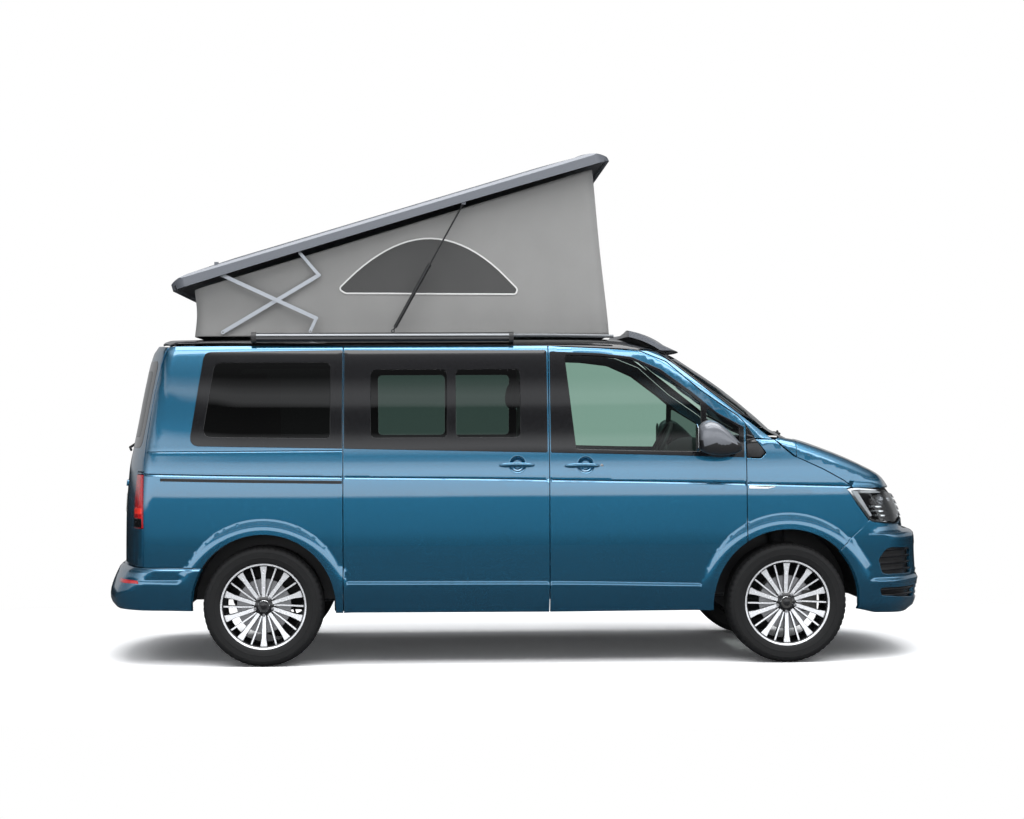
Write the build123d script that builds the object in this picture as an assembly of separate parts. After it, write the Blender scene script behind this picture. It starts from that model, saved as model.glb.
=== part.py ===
from build123d import *
from math import atan2, cos, degrees, hypot, radians, sin, sqrt
import os

# Camper van with a raised pop-top roof, as separate pieces in one frame.
# Millimetres. +X is the vehicle's front, +Y its left side, +Z up. The origin is on the ground,
# at the centre of the overall length and width.

# ---------------------------------------------------------------- overall sizes
LENGTH = 4904.0
HALF_WIDTH = 952.0
WHEELBASE = 3000.0
REAR_OVERHANG = 996.0
TRACK = 1628.0
SILL_Z = 300.0
ROOF_Z = 1892.0

NOSE_X = LENGTH / 2
TAIL_X = -LENGTH / 2
REAR_AXLE_X = TAIL_X + REAR_OVERHANG
FRONT_AXLE_X = REAR_AXLE_X + WHEELBASE

# ---------------------------------------------------------------- walls and gaps
WALL = 45.0
FLANGE = 12.0
FLANGE_LAP = 18.0
SEAL_W = 10.0
SILL_W = 165.0
SEAL_GAP = 5.0
DOOR_GAP = 8.0
PANEL_GAP = 5.0
GLASS = 6.0
FIT = 0.3
FRONT_BOW_R = 3950.0
REAR_BOW_R = 4150.0

# ---------------------------------------------------------------- wheels
TYRE_R = 343.0
TYRE_W = 255.0
RIM_R = 246.0
RIM_W = 216.0
HUB_BORE_R = 32.5
BOLT_PCD = 120.0
BOLT_R = 7.0
BOLT_COUNT = 5
SPOKES = 10
FRONT_ARCH_R = 428.0
REAR_ARCH_R = 408.0
LINER = 6.0
KINGPIN_Y = TRACK / 2 - 34.0
STEER_INNER_Y = 470.0
REAR_LINER_Y = 640.0

# ---------------------------------------------------------------- pop-top roof
POP_ANGLE = 16.6
POP_POLE_X = -2898.5
POP_POLE_Z = 2080.0
POP_REAR_X = -2014.0
POP_FRONT_X = 650.0
POP_HALF_W = 690.0
POP_RIM_Z = 1899.0
POP_TOP_Z = 1990.0
POP_WALL = 22.0
CANVAS_REAR_X = -1885.0
CANVAS_FRONT_X = 560.0
CANVAS_HALF_W = 600.0
CANVAS_T = 8.0
ROOF_HOLE_REAR_X = -1500.0
ROOF_HOLE_FRONT_X = 440.0
ROOF_HOLE_HALF_W = 520.0

# ---------------------------------------------------------------- openings in the body
REAR_CUT_X = -2136.0
SLIDE_REAR_X = -1001.0
SLIDE_FRONT_X = 178.0
DOOR_FRONT_X = 1312.0
WINDOW_LOW_Z = 1240.0
WINDOW_HIGH_Z = 1795.0
DOOR_TOP_Z = 1832.0
DOOR_LOW_Z = 306.0
DOOR_CORNER_Z = 1345.0
BUMPER_TOP_Z = 565.0
FLOOR_Z = 560.0
FLOOR_T = 60.0


# ---------------------------------------------------------------- outline helpers
def block(x_low, x_high, y_low, y_high, z_low, z_high):
    size = (x_high - x_low, y_high - y_low, z_high - z_low)
    centre = ((x_low + x_high) / 2, (y_low + y_high) / 2, (z_low + z_high) / 2)
    return Pos(*centre) * Box(*size)


def rod_y(x, z, radius, y_low, y_high):
    return Pos(x, (y_low + y_high) / 2, z) * Rot(90, 0, 0) * Cylinder(radius, y_high - y_low)


def rod(start, end, radius):
    """Round bar between two points."""
    path = Vector(*end) - Vector(*start)
    plane = Plane(origin=start, z_dir=path)
    return extrude(plane * Circle(radius), amount=path.length)


def mirrored(piece):
    return mirror(piece, about=Plane.XZ)


def pair(piece):
    return [piece, mirrored(piece)]


# ---------------------------------------------------------------- the body's outer form
def inset_points(points, inset):
    """Closed outline's points moved inwards by inset, with mitred corners (anticlockwise)."""
    moved = []
    for k, (x, y, via) in enumerate(points):
        before = points[k - 1]
        after = points[(k + 1) % len(points)]
        ax, ay = x - before[0], y - before[1]
        bx, by = after[0] - x, after[1] - y
        a_len, b_len = hypot(ax, ay), hypot(bx, by)
        nx, ny = -ay / a_len - by / b_len, ax / a_len + bx / b_len
        scale = 2 * inset / (nx * nx + ny * ny)
        moved.append((x + nx * scale, y + ny * scale, via))
    return moved


def outline_face(points, inset=0.0):
    """Face inside a closed outline of rows (x, y, via): via 1 is the middle point of an arc."""
    rows = inset_points(points, inset)
    edges = []
    k = 0
    while k < len(rows):
        here = rows[k][:2]
        following = rows[(k + 1) % len(rows)]
        if following[2]:
            edges.append(ThreePointArc(here, following[:2], rows[(k + 2) % len(rows)][:2]))
            k += 2
        else:
            edges.append(Line(here, following[:2]))
            k += 1
    return make_face(Curve() + edges)


# columns: half-width y, height z, middle point of an arc
SIDE_SECTION = [
    (HALF_WIDTH - 57, SILL_Z, 0),
    (HALF_WIDTH - 12, SILL_Z + 140, 0),
    (HALF_WIDTH, 760, 1),
    (HALF_WIDTH - 8, 1080, 0),
    (HALF_WIDTH - 28, 1235, 0),
    (HALF_WIDTH - 74, 1520, 1),
    (HALF_WIDTH - 138, 1810, 0),
    (HALF_WIDTH - 158, ROOF_Z - 37, 1),
    (HALF_WIDTH - 207, ROOF_Z - 12, 0),
]

# columns: x, z, middle point of an arc; the centre line from the bumper up to the roof
NOSE_PROFILE = [
    (NOSE_X - 122, SILL_Z, 0),
    (NOSE_X - 92, 740, 0),
    (NOSE_X - 108, 860, 1),
    (NOSE_X - 160, 965, 0),
    (NOSE_X - 245, 1062, 1),
    (NOSE_X - 362, 1125, 0),
    (1900, 1209, 1),
    (1722, 1272, 0),
    (1622, 1300, 0),
    (1300, 1590, 1),
    (940, 1805, 0),
    (832, 1862, 1),
    (660, ROOF_Z, 0),
]
TAIL_PROFILE = [
    (TAIL_X + 112, SILL_Z, 0),
    (TAIL_X + 88, 560, 0),
    (TAIL_X + 105, 1113, 0),
    (TAIL_X + 172, 1400, 1),
    (TAIL_X + 280, 1800, 0),
    (TAIL_X + 320, 1866, 1),
    (TAIL_X + 400, ROOF_Z, 0),
]

# columns: x, y, middle point of an arc; the left half from the tail to the nose
PLAN_SIDE = [
    (TAIL_X + 70, 600, 0),
    (TAIL_X + 150, 800, 1),
    (TAIL_X + 312, 890, 0),
    (-1900, 932, 1),
    (-1600, HALF_WIDTH, 0),
    (1500, HALF_WIDTH, 0),
    (1900, 926, 1),
    (2120, 862, 0),
    (2285, 740, 1),
    (NOSE_X - 60, 480, 0),
]


def section_face(inset):
    """Cross-section of the body."""
    right = [(-y, z, via) for y, z, via in reversed(SIDE_SECTION)]
    crown = [(0, ROOF_Z, 1)]
    return outline_face(SIDE_SECTION + crown + right, inset)


def half_turned(profile, axis_x, inset):
    """The profile from its bottom to its top, closed well past the vertical axis and turned."""
    beyond = 300 if profile[0][0] < axis_x else -300
    ends = [(axis_x + beyond, ROOF_Z, 0), (axis_x + beyond, SILL_Z, 0)]
    rows = profile + ends
    if beyond > 0:
        rows = list(reversed(rows))
    moved = inset_points(rows, inset)
    kept = [row for row in moved if (row[0] - axis_x) * beyond < 0]
    top = max(row[1] for row in moved)
    low = min(row[1] for row in moved)
    closing = [(axis_x, top, 0), (axis_x, low, 0)]
    if beyond > 0:
        closing.reverse()
        kept = kept if kept[0][1] > kept[-1][1] else list(reversed(kept))
        face = outline_face(kept + closing)
    else:
        face = outline_face(kept + closing)
    return revolve(Plane.XZ * face, axis=Axis((axis_x, 0, 0), (0, 0, 1)))


def plan_face(inset):
    """Plan of the body, with its rounded nose and tail corners."""
    other = [(x, -y, via) for x, y, via in reversed(PLAN_SIDE)]
    tail = [(TAIL_X, 0, 0)]
    nose = [(NOSE_X, 0, 0)]
    rows = nose + list(reversed(PLAN_SIDE)) + tail + list(reversed(other))
    return outline_face(rows, inset)


def hull(inset=0.0):
    """The body's closed outer form, drawn in by inset."""
    body = extrude(Plane.YZ * section_face(inset), amount=NOSE_X, both=True)
    body = body & half_turned(NOSE_PROFILE, NOSE_X - FRONT_BOW_R, inset)
    body = body & half_turned(TAIL_PROFILE, TAIL_X + REAR_BOW_R, inset)
    return body & extrude(plan_face(inset), amount=2 * ROOF_Z, both=True)


# ---------------------------------------------------------------- side outlines, x and z
RIGHT = -1
LEFT = 1
WINDOW_LAND = 22.0
PANE_GAP = 3.0
PANE_DEPTH = 2.0

DOOR_ARCH_R = FRONT_ARCH_R + 8.0


def arch_point(angle):
    """Point on the front door's edge round the wheel arch, angle from straight back, degrees."""
    x = FRONT_AXLE_X - DOOR_ARCH_R * cos(radians(angle))
    return x, TYRE_R + DOOR_ARCH_R * sin(radians(angle))


ARCH_LOW_X = FRONT_AXLE_X - sqrt(DOOR_ARCH_R ** 2 - (TYRE_R - DOOR_LOW_Z) ** 2)
ARCH_TOP_Z = TYRE_R + sqrt(DOOR_ARCH_R ** 2 - (FRONT_AXLE_X - DOOR_FRONT_X) ** 2)

FRONT_DOOR = [
    (SLIDE_FRONT_X, DOOR_LOW_Z, 0),
    (ARCH_LOW_X, DOOR_LOW_Z, 0),
    (*arch_point(26), 1),
    (DOOR_FRONT_X, ARCH_TOP_Z, 0),
    (DOOR_FRONT_X, DOOR_CORNER_Z, 0),
    (1088, 1552, 1),
    (832, 1738, 0),
    (716, 1796, 1),
    (560, DOOR_TOP_Z - 8, 0),
    (SLIDE_FRONT_X, DOOR_TOP_Z, 0),
]
FRONT_WINDOW = [
    (326, WINDOW_LOW_Z + 6, 0),
    (1262, WINDOW_LOW_Z - 14, 0),
    (1262, 1318, 0),
    (1050, 1505, 1),
    (802, 1684, 0),
    (690, 1745, 1),
    (550, 1774, 0),
    (262, 1780, 0),
]
SLIDING_DOOR = [
    (SLIDE_REAR_X, DOOR_LOW_Z, 0),
    (SLIDE_FRONT_X, DOOR_LOW_Z, 0),
    (SLIDE_FRONT_X, DOOR_TOP_Z, 0),
    (SLIDE_REAR_X, DOOR_TOP_Z, 0),
]
SLIDING_WINDOW = [
    (SLIDE_REAR_X + 40, WINDOW_LOW_Z, 0),
    (SLIDE_FRONT_X - 40, WINDOW_LOW_Z, 0),
    (SLIDE_FRONT_X - 40, WINDOW_HIGH_Z, 0),
    (SLIDE_REAR_X + 40, WINDOW_HIGH_Z, 0),
]
QUARTER_WINDOW = [
    (-1888, WINDOW_LOW_Z + 16, 0),
    (-1866, WINDOW_LOW_Z, 0),
    (SLIDE_REAR_X - 40, WINDOW_LOW_Z, 0),
    (SLIDE_REAR_X - 40, WINDOW_HIGH_Z, 0),
    (-1800, WINDOW_HIGH_Z, 0),
    (-1822, WINDOW_HIGH_Z - 14, 0),
    (-1876, 1530, 1),
    (-1900, 1300, 0),
]

TAILGATE_TOP_X = -2016.0
TAILGATE_SIDE = [
    (TAIL_X - 50, BUMPER_TOP_Z, 0),
    (REAR_CUT_X, BUMPER_TOP_Z, 0),
    (REAR_CUT_X, 1094, 0),
    (-2105, 1420, 1),
    (TAILGATE_TOP_X, 1800, 0),
    (TAILGATE_TOP_X, ROOF_Z + 60, 0),
    (TAIL_X - 50, ROOF_Z + 60, 0),
]
# columns: half-width y, height z
TAILGATE_WINDOW = [(700, 1262, 0), (642, 1768, 0), (-642, 1768, 0), (-700, 1262, 0)]
WINDSCREEN = [(832, 1312, 0), (722, 1792, 0), (-722, 1792, 0), (-832, 1312, 0)]

BONNET_LINE = [
    (1490, 1272, 0),
    (1583, 1192, 0),
    (1758, 1116, 0),
    (1921, 1006, 0),
    (NOSE_X, 966, 0),
]
BONNET_SIDE = BONNET_LINE + [(NOSE_X, 1400, 0), (1490, 1400, 0)]
BONNET_REAR_X = 1722.0
BONNET_CORNER_X = 1600.0
COWL_HALF_W = 755.0
# columns: x, y, middle point of an arc
BONNET_PLAN = [
    (BONNET_CORNER_X, -860, 0),
    (BONNET_CORNER_X, -960, 0),
    (NOSE_X + 50, -960, 0),
    (NOSE_X + 50, 960, 0),
    (BONNET_CORNER_X, 960, 0),
    (BONNET_CORNER_X, 860, 0),
    (BONNET_CORNER_X + 12, 700, 0),
    (BONNET_REAR_X, 0, 1),
    (BONNET_CORNER_X + 12, -700, 0),
]
LAMP_SIDE = [
    (1897, 998, 0),
    (1948, 905, 0),
    (2030, 812, 0),
    (NOSE_X, 778, 0),
    (NOSE_X, 962, 0),
    (1921, 1002, 0),
]
LAMP_INNER_Y = 540.0
LAMP_T = 70.0
GRILLE_T = 30.0
BONNET_T = WALL - 10
BONNET_LIP = [
    (2060, 900, 0),
    (NOSE_X, 900, 0),
    (NOSE_X, 1100, 0),
    (2060, 1100, 0),
]
WING_TOP_Z = 1283.0
WING_T = WALL - 20
A_POST_X = 1400.0
SILL_IN_Y = 780.0
SILL_OUT_Y = 840.0
SILL_REAR_X = REAR_AXLE_X + REAR_ARCH_R + LINER + FIT
SILL_FRONT_X = FRONT_AXLE_X - FRONT_ARCH_R - LINER - FIT
POST_IN_Y = 820.0
POST_HALF = 28.0
SILL_LOW_Z = 312.0
TAIL_LAMP_TOP = 1108.0
TAIL_LAMP = [
    (TAIL_X, 786, 0),
    (REAR_CUT_X - 6, 786, 0),
    (REAR_CUT_X - 6, TAIL_LAMP_TOP - 12, 0),
    (TAIL_X, TAIL_LAMP_TOP - 12, 0),
]
TAIL_LAMP_INNER_Y = 742.0


# ---------------------------------------------------------------- pop-top linkage
BAR_T = 6.0
BAR_W = 22.0
BAR_PIN_R = 5.0
BAR_Y = 612.0
BAR_STEP = 8.0
# columns: x, z of each pivot with the roof raised
ARM_FOOT = (-1710.0, 1918.0)
ARM_TOP = (-1150.0, 2251.0)
LINK_ROOF = (-1262.0, 2383.0)
BRACE_ROOF = (-1740.0, 2264.0)
BRACE_END = (-1165.0, 1998.0)
LINK_FOOT = (-1200.0, 1922.0)
STRUT_FOOT = (-718.0, 1921.0)
STRUT_TOP = (-303.0, 2668.0)
STRUT_Y = 648.0
STRUT_R = 11.0
STRUT_ROD_R = 5.0
STRUT_BARREL = 445.0
EYE_W = 12.0


# ---------------------------------------------------------------- layers of the body's skin
HULL = hull()
PANE_OUT = hull(PANE_DEPTH)
PANE_IN = hull(PANE_DEPTH + GLASS)
PANE_SEAT = hull(PANE_DEPTH + GLASS + FIT)
DOOR_IN = hull(WALL)
FLANGE_OUT = hull(WALL + SEAL_GAP)
BODY_IN = hull(WALL + SEAL_GAP + FLANGE)
CABIN_IN = hull(WALL + SEAL_GAP + FLANGE + FIT)
SEAL_OUT = hull(WALL + FIT)


def side_cutter(outline, side, grow=0.0, y_in=300.0):
    """Prism through one side wall, from an XZ outline grown outwards."""
    face = Plane.XZ * outline_face(outline, -grow)
    prism = Pos(0, -y_in, 0) * extrude(face, amount=HALF_WIDTH, dir=(0, -1, 0))
    return prism if side == RIGHT else mirrored(prism)


def end_cutter(outline, x_from, x_to, grow=0.0):
    """Prism through the windscreen or tailgate, from a YZ outline grown outwards."""
    face = Plane.YZ * outline_face(outline, -grow)
    return Pos(x_from, 0, 0) * extrude(face, amount=x_to - x_from, dir=(1, 0, 0))


def across(outline, grow=0.0):
    """Prism through the whole width, from an XZ outline."""
    return extrude(Plane.XZ * outline_face(outline, -grow), amount=HALF_WIDTH + 100, both=True)


def glazed(panel, seat, through, pane):
    """Panel with a rebate and an opening, and its pane."""
    return panel - (seat - PANE_SEAT) - through, (PANE_OUT - PANE_IN) & pane


def side_glazed(panel, outline, side):
    seat = side_cutter(outline, side, PANE_GAP)
    through = side_cutter(outline, side, -WINDOW_LAND)
    return glazed(panel, seat, through, side_cutter(outline, side))


def end_glazed(panel, outline, x_from, x_to):
    seat = end_cutter(outline, x_from, x_to, PANE_GAP)
    through = end_cutter(outline, x_from, x_to, -WINDOW_LAND)
    return glazed(panel, seat, through, end_cutter(outline, x_from, x_to))


def arch_cutter(axle_x, radius, y_in=300.0):
    """Both wheel openings of an axle."""
    return [rod_y(axle_x, TYRE_R, radius, y_in, HALF_WIDTH + 60),
            rod_y(axle_x, TYRE_R, radius, -HALF_WIDTH - 60, -y_in)]


def biggest(shape):
    return max(shape.solids(), key=lambda solid: solid.volume)


# ---------------------------------------------------------------- body shell
def framed(shell, outline, sides):
    """Shell with a door opening, the flange behind the door's edge, and its seal."""
    for side in sides:
        shell = shell - (side_cutter(outline, side, DOOR_GAP / 2) - FLANGE_OUT)
        shell = shell - side_cutter(outline, side, -FLANGE_LAP)
        ring = side_cutter(outline, side, SEAL_W - FLANGE_LAP) - side_cutter(outline, side, -FLANGE_LAP)
        shell = shell + (ring & (SEAL_OUT - FLANGE_OUT))
    return shell


def make_body():
    shell = HULL - BODY_IN
    shell = framed(shell, FRONT_DOOR, (RIGHT, LEFT))
    shell = framed(shell, SLIDING_DOOR, (RIGHT,))
    for side in (RIGHT, LEFT):
        shell = shell - side_cutter(door_front_band(), side)
    corners = tail_corners(DOOR_GAP / 2)
    shell = shell - (across(TAILGATE_SIDE, DOOR_GAP / 2) - FLANGE_OUT - corners)
    shell = shell - (across(TAILGATE_SIDE, -FLANGE_LAP) - corners)
    tail_ring = across(TAILGATE_SIDE, SEAL_W - FLANGE_LAP) - across(TAILGATE_SIDE, -FLANGE_LAP)
    shell = shell + ((tail_ring & (SEAL_OUT - FLANGE_OUT)) - corners)
    lamp_room = across(TAIL_LAMP, FIT) - block(TAIL_X, TAIL_X + 900, -TAIL_LAMP_INNER_Y,
                                               TAIL_LAMP_INNER_Y, 0, 2000)
    shell = shell - (lamp_room - FLANGE_OUT)
    post = block(DOOR_FRONT_X, A_POST_X, -HALF_WIDTH, HALF_WIDTH, 400, WING_TOP_Z + PANEL_GAP)
    shell = shell - (front_end() - (post & hull(WING_T + FIT)))
    for cut in arch_cutter(REAR_AXLE_X, REAR_ARCH_R) + arch_cutter(FRONT_AXLE_X, FRONT_ARCH_R):
        shell = shell - cut
    hole = block(ROOF_HOLE_REAR_X, ROOF_HOLE_FRONT_X, -ROOF_HOLE_HALF_W, ROOF_HOLE_HALF_W,
                 ROOF_Z - 200, ROOF_Z + 50)
    shell = shell - hole
    shell = shell - block(TAIL_X, REAR_AXLE_X, -HALF_WIDTH, HALF_WIDTH, 0, BUMPER_TOP_Z)
    sill_in = HALF_WIDTH - SILL_W
    shell = shell - block(TAIL_X, NOSE_X, -sill_in, sill_in, SILL_Z - 10, SILL_Z + 100)
    for low_x, high_x in ((SLIDE_FRONT_X, ARCH_LOW_X - 60),):
        for side in (RIGHT, LEFT):
            y_low, y_high = sorted((side * (sill_in - 10), side * HALF_WIDTH))
            shell = shell - block(low_x, high_x, y_low, y_high, SILL_Z - 10, SILL_Z + 8)
    threshold = block(SLIDE_REAR_X, SLIDE_FRONT_X + 1, -HALF_WIDTH, -sill_in + 10, SILL_Z - 10, SILL_Z + 8)
    shell = shell - threshold
    for beam in sills_and_posts():
        shell = shell + beam
    for side in (RIGHT, LEFT):
        shell = shell + (roof_bracket(*ARM_FOOT, BAR_Y - BAR_T - 5, BAR_Y + 1.5, side)
                         + roof_bracket(*STRUT_FOOT, STRUT_Y - EYE_W / 2 - 6, STRUT_Y + EYE_W / 2, side)
                         + roof_bracket(*LINK_FOOT, BAR_Y + 3 * BAR_STEP + 1, BAR_Y + 2 * BAR_STEP + 1.5, side))
    return biggest(shell)


def sills_and_posts(grow=0.0):
    """Box sills under the doors and the posts between front and sliding doors."""
    beams = []
    for side in (RIGHT, LEFT):
        sill_y = sorted((side * (SILL_IN_Y - grow), side * (SILL_OUT_Y + grow)))
        post_y = sorted((side * (POST_IN_Y - grow), side * HALF_WIDTH))
        beams.append(block(SILL_REAR_X - grow, SILL_FRONT_X + grow, *sill_y, SILL_LOW_Z - grow,
                           FLOOR_Z - FLOOR_T - FIT + grow))
        beams.append(block(SLIDE_FRONT_X - POST_HALF - grow, SLIDE_FRONT_X + POST_HALF + grow, *post_y,
                           SILL_LOW_Z + 60, WINDOW_HIGH_Z) & FLANGE_OUT)
        for x in (SILL_REAR_X, SILL_FRONT_X - 30):
            post = block(x - grow, x + 30 + grow, *post_y, SILL_LOW_Z + 60, FLOOR_Z - FLOOR_T - FIT + grow)
            beams.append(post & FLANGE_OUT)
    return beams


def roof_bracket(x, z, y_plate, y_tip, side):
    """A plate on the roof with a pin through a bar's eye."""
    plate = block(x - 14, x + 14, y_plate, y_plate + 4, ROOF_Z - 40, z + 9)
    piece = plate + rod_y(x, z, BAR_PIN_R - FIT, *sorted((y_plate + 2, y_tip)))
    return piece if side == LEFT else mirrored(piece)


def tail_corners(draw_in=0.0):
    """The body's rear corners beside the tailgate, up to the lamps' top."""
    inner = TAIL_LAMP_INNER_Y + draw_in
    return [block(TAIL_X - 60, REAR_CUT_X + 90, *sorted((side * inner, side * HALF_WIDTH)),
                  BUMPER_TOP_Z - 60, TAIL_LAMP_TOP - draw_in) for side in (RIGHT, LEFT)]


def door_front_band():
    """The hinge edge of the front door opening, where the body has no flange."""
    low = ARCH_TOP_Z - 70
    return [
        (DOOR_FRONT_X - FLANGE_LAP - 12, low, 0),
        (DOOR_FRONT_X + DOOR_GAP / 2, low, 0),
        (DOOR_FRONT_X + DOOR_GAP / 2, DOOR_CORNER_Z + 17, 0),
        (DOOR_FRONT_X - FLANGE_LAP - 12, DOOR_CORNER_Z + 17, 0),
    ]


def front_end():
    """What lies ahead of the front doors and below the windscreen."""
    rows = [
        (DOOR_FRONT_X + DOOR_GAP / 2, SILL_Z - 50, 0),
        (NOSE_X + 50, SILL_Z - 50, 0),
        (NOSE_X + 50, 1290, 0),
        (1640, 1290, 0),
        (1640, WING_TOP_Z + PANEL_GAP, 0),
        (DOOR_FRONT_X + DOOR_GAP / 2, WING_TOP_Z + PANEL_GAP, 0),
    ]
    return across(rows)


def make_bonnet():
    skin = HULL - hull(BONNET_T)
    bonnet = skin & across(BONNET_SIDE, -PANEL_GAP / 2)
    plan = extrude(outline_face(BONNET_PLAN, PANEL_GAP / 2), amount=2 * ROOF_Z)
    corner = block(1400, 1640, -HALF_WIDTH, HALF_WIDTH, WING_TOP_Z, 1400)
    return biggest((bonnet & plan) - corner)


def make_wings():
    """Front wings, between door, bonnet, headlamp and bumper."""
    skin = HULL - hull(WING_T)
    low = [
        (DOOR_FRONT_X + DOOR_GAP / 2, 560, 0),
        (1880, 712, 0),
        (2026, 806, 0),
        (1948, 900, 0),
        (1892, 1000, 0),
    ]
    line = [(x, z - PANEL_GAP / 2, via) for x, z, via in reversed(BONNET_LINE[:4])]
    top = [(1470, WING_TOP_Z, 0), (DOOR_FRONT_X + DOOR_GAP / 2, WING_TOP_Z, 0)]
    region = across(low + line + top)
    corner_rows = [(1470, 1180, 0), (1660, 1100, 0), (1660, WING_TOP_Z, 0), (1470, WING_TOP_Z, 0)]
    plan = extrude(outline_face(BONNET_PLAN, -PANEL_GAP / 2), amount=2 * ROOF_Z)
    cowl_y = COWL_HALF_W + FIT
    corners = (skin & across(corner_rows)) - plan - block(0, NOSE_X, -cowl_y, cowl_y, 0, 2000)
    wings = (skin & region) + corners
    wings = wings - block(0, NOSE_X, -600, 600, 0, 2000)
    for cut in arch_cutter(FRONT_AXLE_X, FRONT_ARCH_R):
        wings = wings - cut
    return wings.solids()


def make_cowl():
    """Black panel between the windscreen's foot and the bonnet."""
    skin = HULL - hull(WALL - 20)
    rows = [
        (1478, 1225, 0),
        (1800, 1225, 0),
        (1800, 1302, 0),
        (1478, 1302, 0),
    ]
    plan = extrude(outline_face(BONNET_PLAN, -PANEL_GAP / 2), amount=2 * ROOF_Z)
    low = block(1478, 1800, -COWL_HALF_W, COWL_HALF_W, 1200, WING_TOP_Z + PANEL_GAP - FIT)
    return biggest((skin & across(rows) & low) - plan)


def make_headlamps():
    skin = HULL - hull(LAMP_T)
    lamps = skin & across(LAMP_SIDE)
    lamps = lamps - block(0, NOSE_X, -LAMP_INNER_Y, LAMP_INNER_Y, 0, 2000)
    return lamps.solids()


def make_grille():
    skin = HULL - hull(GRILLE_T)
    low, high = 788.0, 955.0
    face = skin & block(2200, NOSE_X, -LAMP_INNER_Y + PANEL_GAP, LAMP_INNER_Y - PANEL_GAP, low, high)
    grille = biggest(face)
    for z in (842.0, 884.0, 926.0):
        grille = grille - block(2200, NOSE_X, -470, -12, z - 14, z + 14)
        grille = grille - block(2200, NOSE_X, 12, 470, z - 14, z + 14)
    return grille


FRONT_PANEL_T = 16.0


def make_front_panel():
    """Panel behind lamps, grille and bumper: it carries them, and the shut bonnet."""
    back = hull(LAMP_T + FIT) - hull(LAMP_T + FRONT_PANEL_T)
    panel = back & block(2020, NOSE_X, -770, 770, 700, 990)
    lip = (hull(BONNET_T + FIT) - hull(LAMP_T + FRONT_PANEL_T)) & across(BONNET_LIP)
    lip_zone = block(2060, NOSE_X, -530, 530, 900, 1100) + block(2000, 2200, -700, 700, 1012, 1100)
    panel = panel + (lip & lip_zone)
    pads = (hull(GRILLE_T + FIT) - hull(LAMP_T + 2)) & block(2200, NOSE_X, -530, 530, 792, 812)
    panel = biggest(panel + pads)
    for side in (RIGHT, LEFT):
        y_low, y_high = sorted((side * 345, side * 385))
        leg = block(2165, 2200, y_low, y_high, 500, 760) + block(2165, 2330, y_low, y_high, 720, 760)
        panel = panel + (leg & hull(LAMP_T + 2))
    return biggest(panel)


# columns: x, z, middle point of an arc; the front bumper's centre-line profile
FRONT_BUMPER_PROFILE = [
    (2190, 232, 0),
    (NOSE_X - 52, 258, 0),
    (NOSE_X, 419, 1),
    (NOSE_X - 12, 560, 0),
    (NOSE_X - 18, 712, 0),
    (NOSE_X - 34, 733, 0),
    (NOSE_X - 92, 745, 0),
    (NOSE_X - 96, 795, 0),
]
REAR_BUMPER_PROFILE = [
    (TAIL_X + 90, 312, 0),
    (TAIL_X + 22, 322, 0),
    (TAIL_X, 372, 1),
    (TAIL_X + 22, 455, 0),
    (TAIL_X + 66, BUMPER_TOP_Z - 12, 0),
    (TAIL_X + 90, BUMPER_TOP_Z - PANEL_GAP, 0),
]
BUMPER_T = 30.0


def bumper_form(profile, axis_x, inset=0.0):
    """Bumper's outer form, or with an inset the space behind it, open above and below."""
    z_low, z_top = profile[0][1], profile[-1][1]
    ends = [(axis_x, z_top, 0), (axis_x, z_low, 0)]
    if profile[0][0] < axis_x:
        rows = list(reversed(inset_points(list(reversed(profile + ends)), inset)))
    else:
        rows = inset_points(profile + ends, inset)
    kept = [row for row in rows if abs(row[0] - axis_x) > inset + 1]
    if inset:
        kept = [(kept[0][0], z_low - 50, 0)] + kept + [(kept[-1][0], z_top + 50, 0)]
    rows = kept + [(axis_x, kept[-1][1], 0), (axis_x, kept[0][1], 0)]
    if profile[0][0] < axis_x:
        rows = list(reversed(rows))
    turned = revolve(Plane.XZ * outline_face(rows), axis=Axis((axis_x, 0, 0), (0, 0, 1)))
    wide = [(HALF_WIDTH - 52, 150, 0), (HALF_WIDTH - 6, 420, 0), (HALF_WIDTH, 760, 0),
            (HALF_WIDTH, 900, 0)]
    other = [(-y, z, via) for y, z, via in reversed(wide)]
    section = extrude(Plane.YZ * outline_face(wide + other, inset), amount=NOSE_X + 50, both=True)
    return turned & section & extrude(plan_face(inset), amount=2 * ROOF_Z, both=True)


def make_front_bumper():
    axis_x = NOSE_X - FRONT_BOW_R
    skin = bumper_form(FRONT_BUMPER_PROFILE, axis_x) - bumper_form(FRONT_BUMPER_PROFILE, axis_x, BUMPER_T)
    rows = [
        (1700, 200, 0),
        (NOSE_X + 50, 200, 0),
        (NOSE_X + 50, 772, 0),
        (2036, 805, 0),
        (1880, 706, 0),
        (1700, 640, 0),
    ]
    skin = skin & across(rows)
    for cut in arch_cutter(FRONT_AXLE_X, FRONT_ARCH_R):
        skin = skin - cut
    skin = skin - block(2250, NOSE_X + 50, -560, 560, 520, 640)
    skin = skin - block(2250, NOSE_X + 50, -640, 640, 330, 410)
    for side in (-1, 1):
        y_low, y_high = sorted((side * 640, side * 800))
        skin = skin - block(2250, NOSE_X + 50, y_low, y_high, 455, 600)
    tow = rod((TOW_EYE_X, TOW_EYE_Y, TOW_EYE_Z), (NOSE_X - 8, TOW_EYE_Y, TOW_EYE_Z), 26)
    bored = skin + (tow & bumper_form(FRONT_BUMPER_PROFILE, axis_x))
    bore = rod((TOW_EYE_X + 12, TOW_EYE_Y, TOW_EYE_Z), (NOSE_X + 20, TOW_EYE_Y, TOW_EYE_Z), TOW_EYE_R)
    return biggest(bored - bore)


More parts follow.
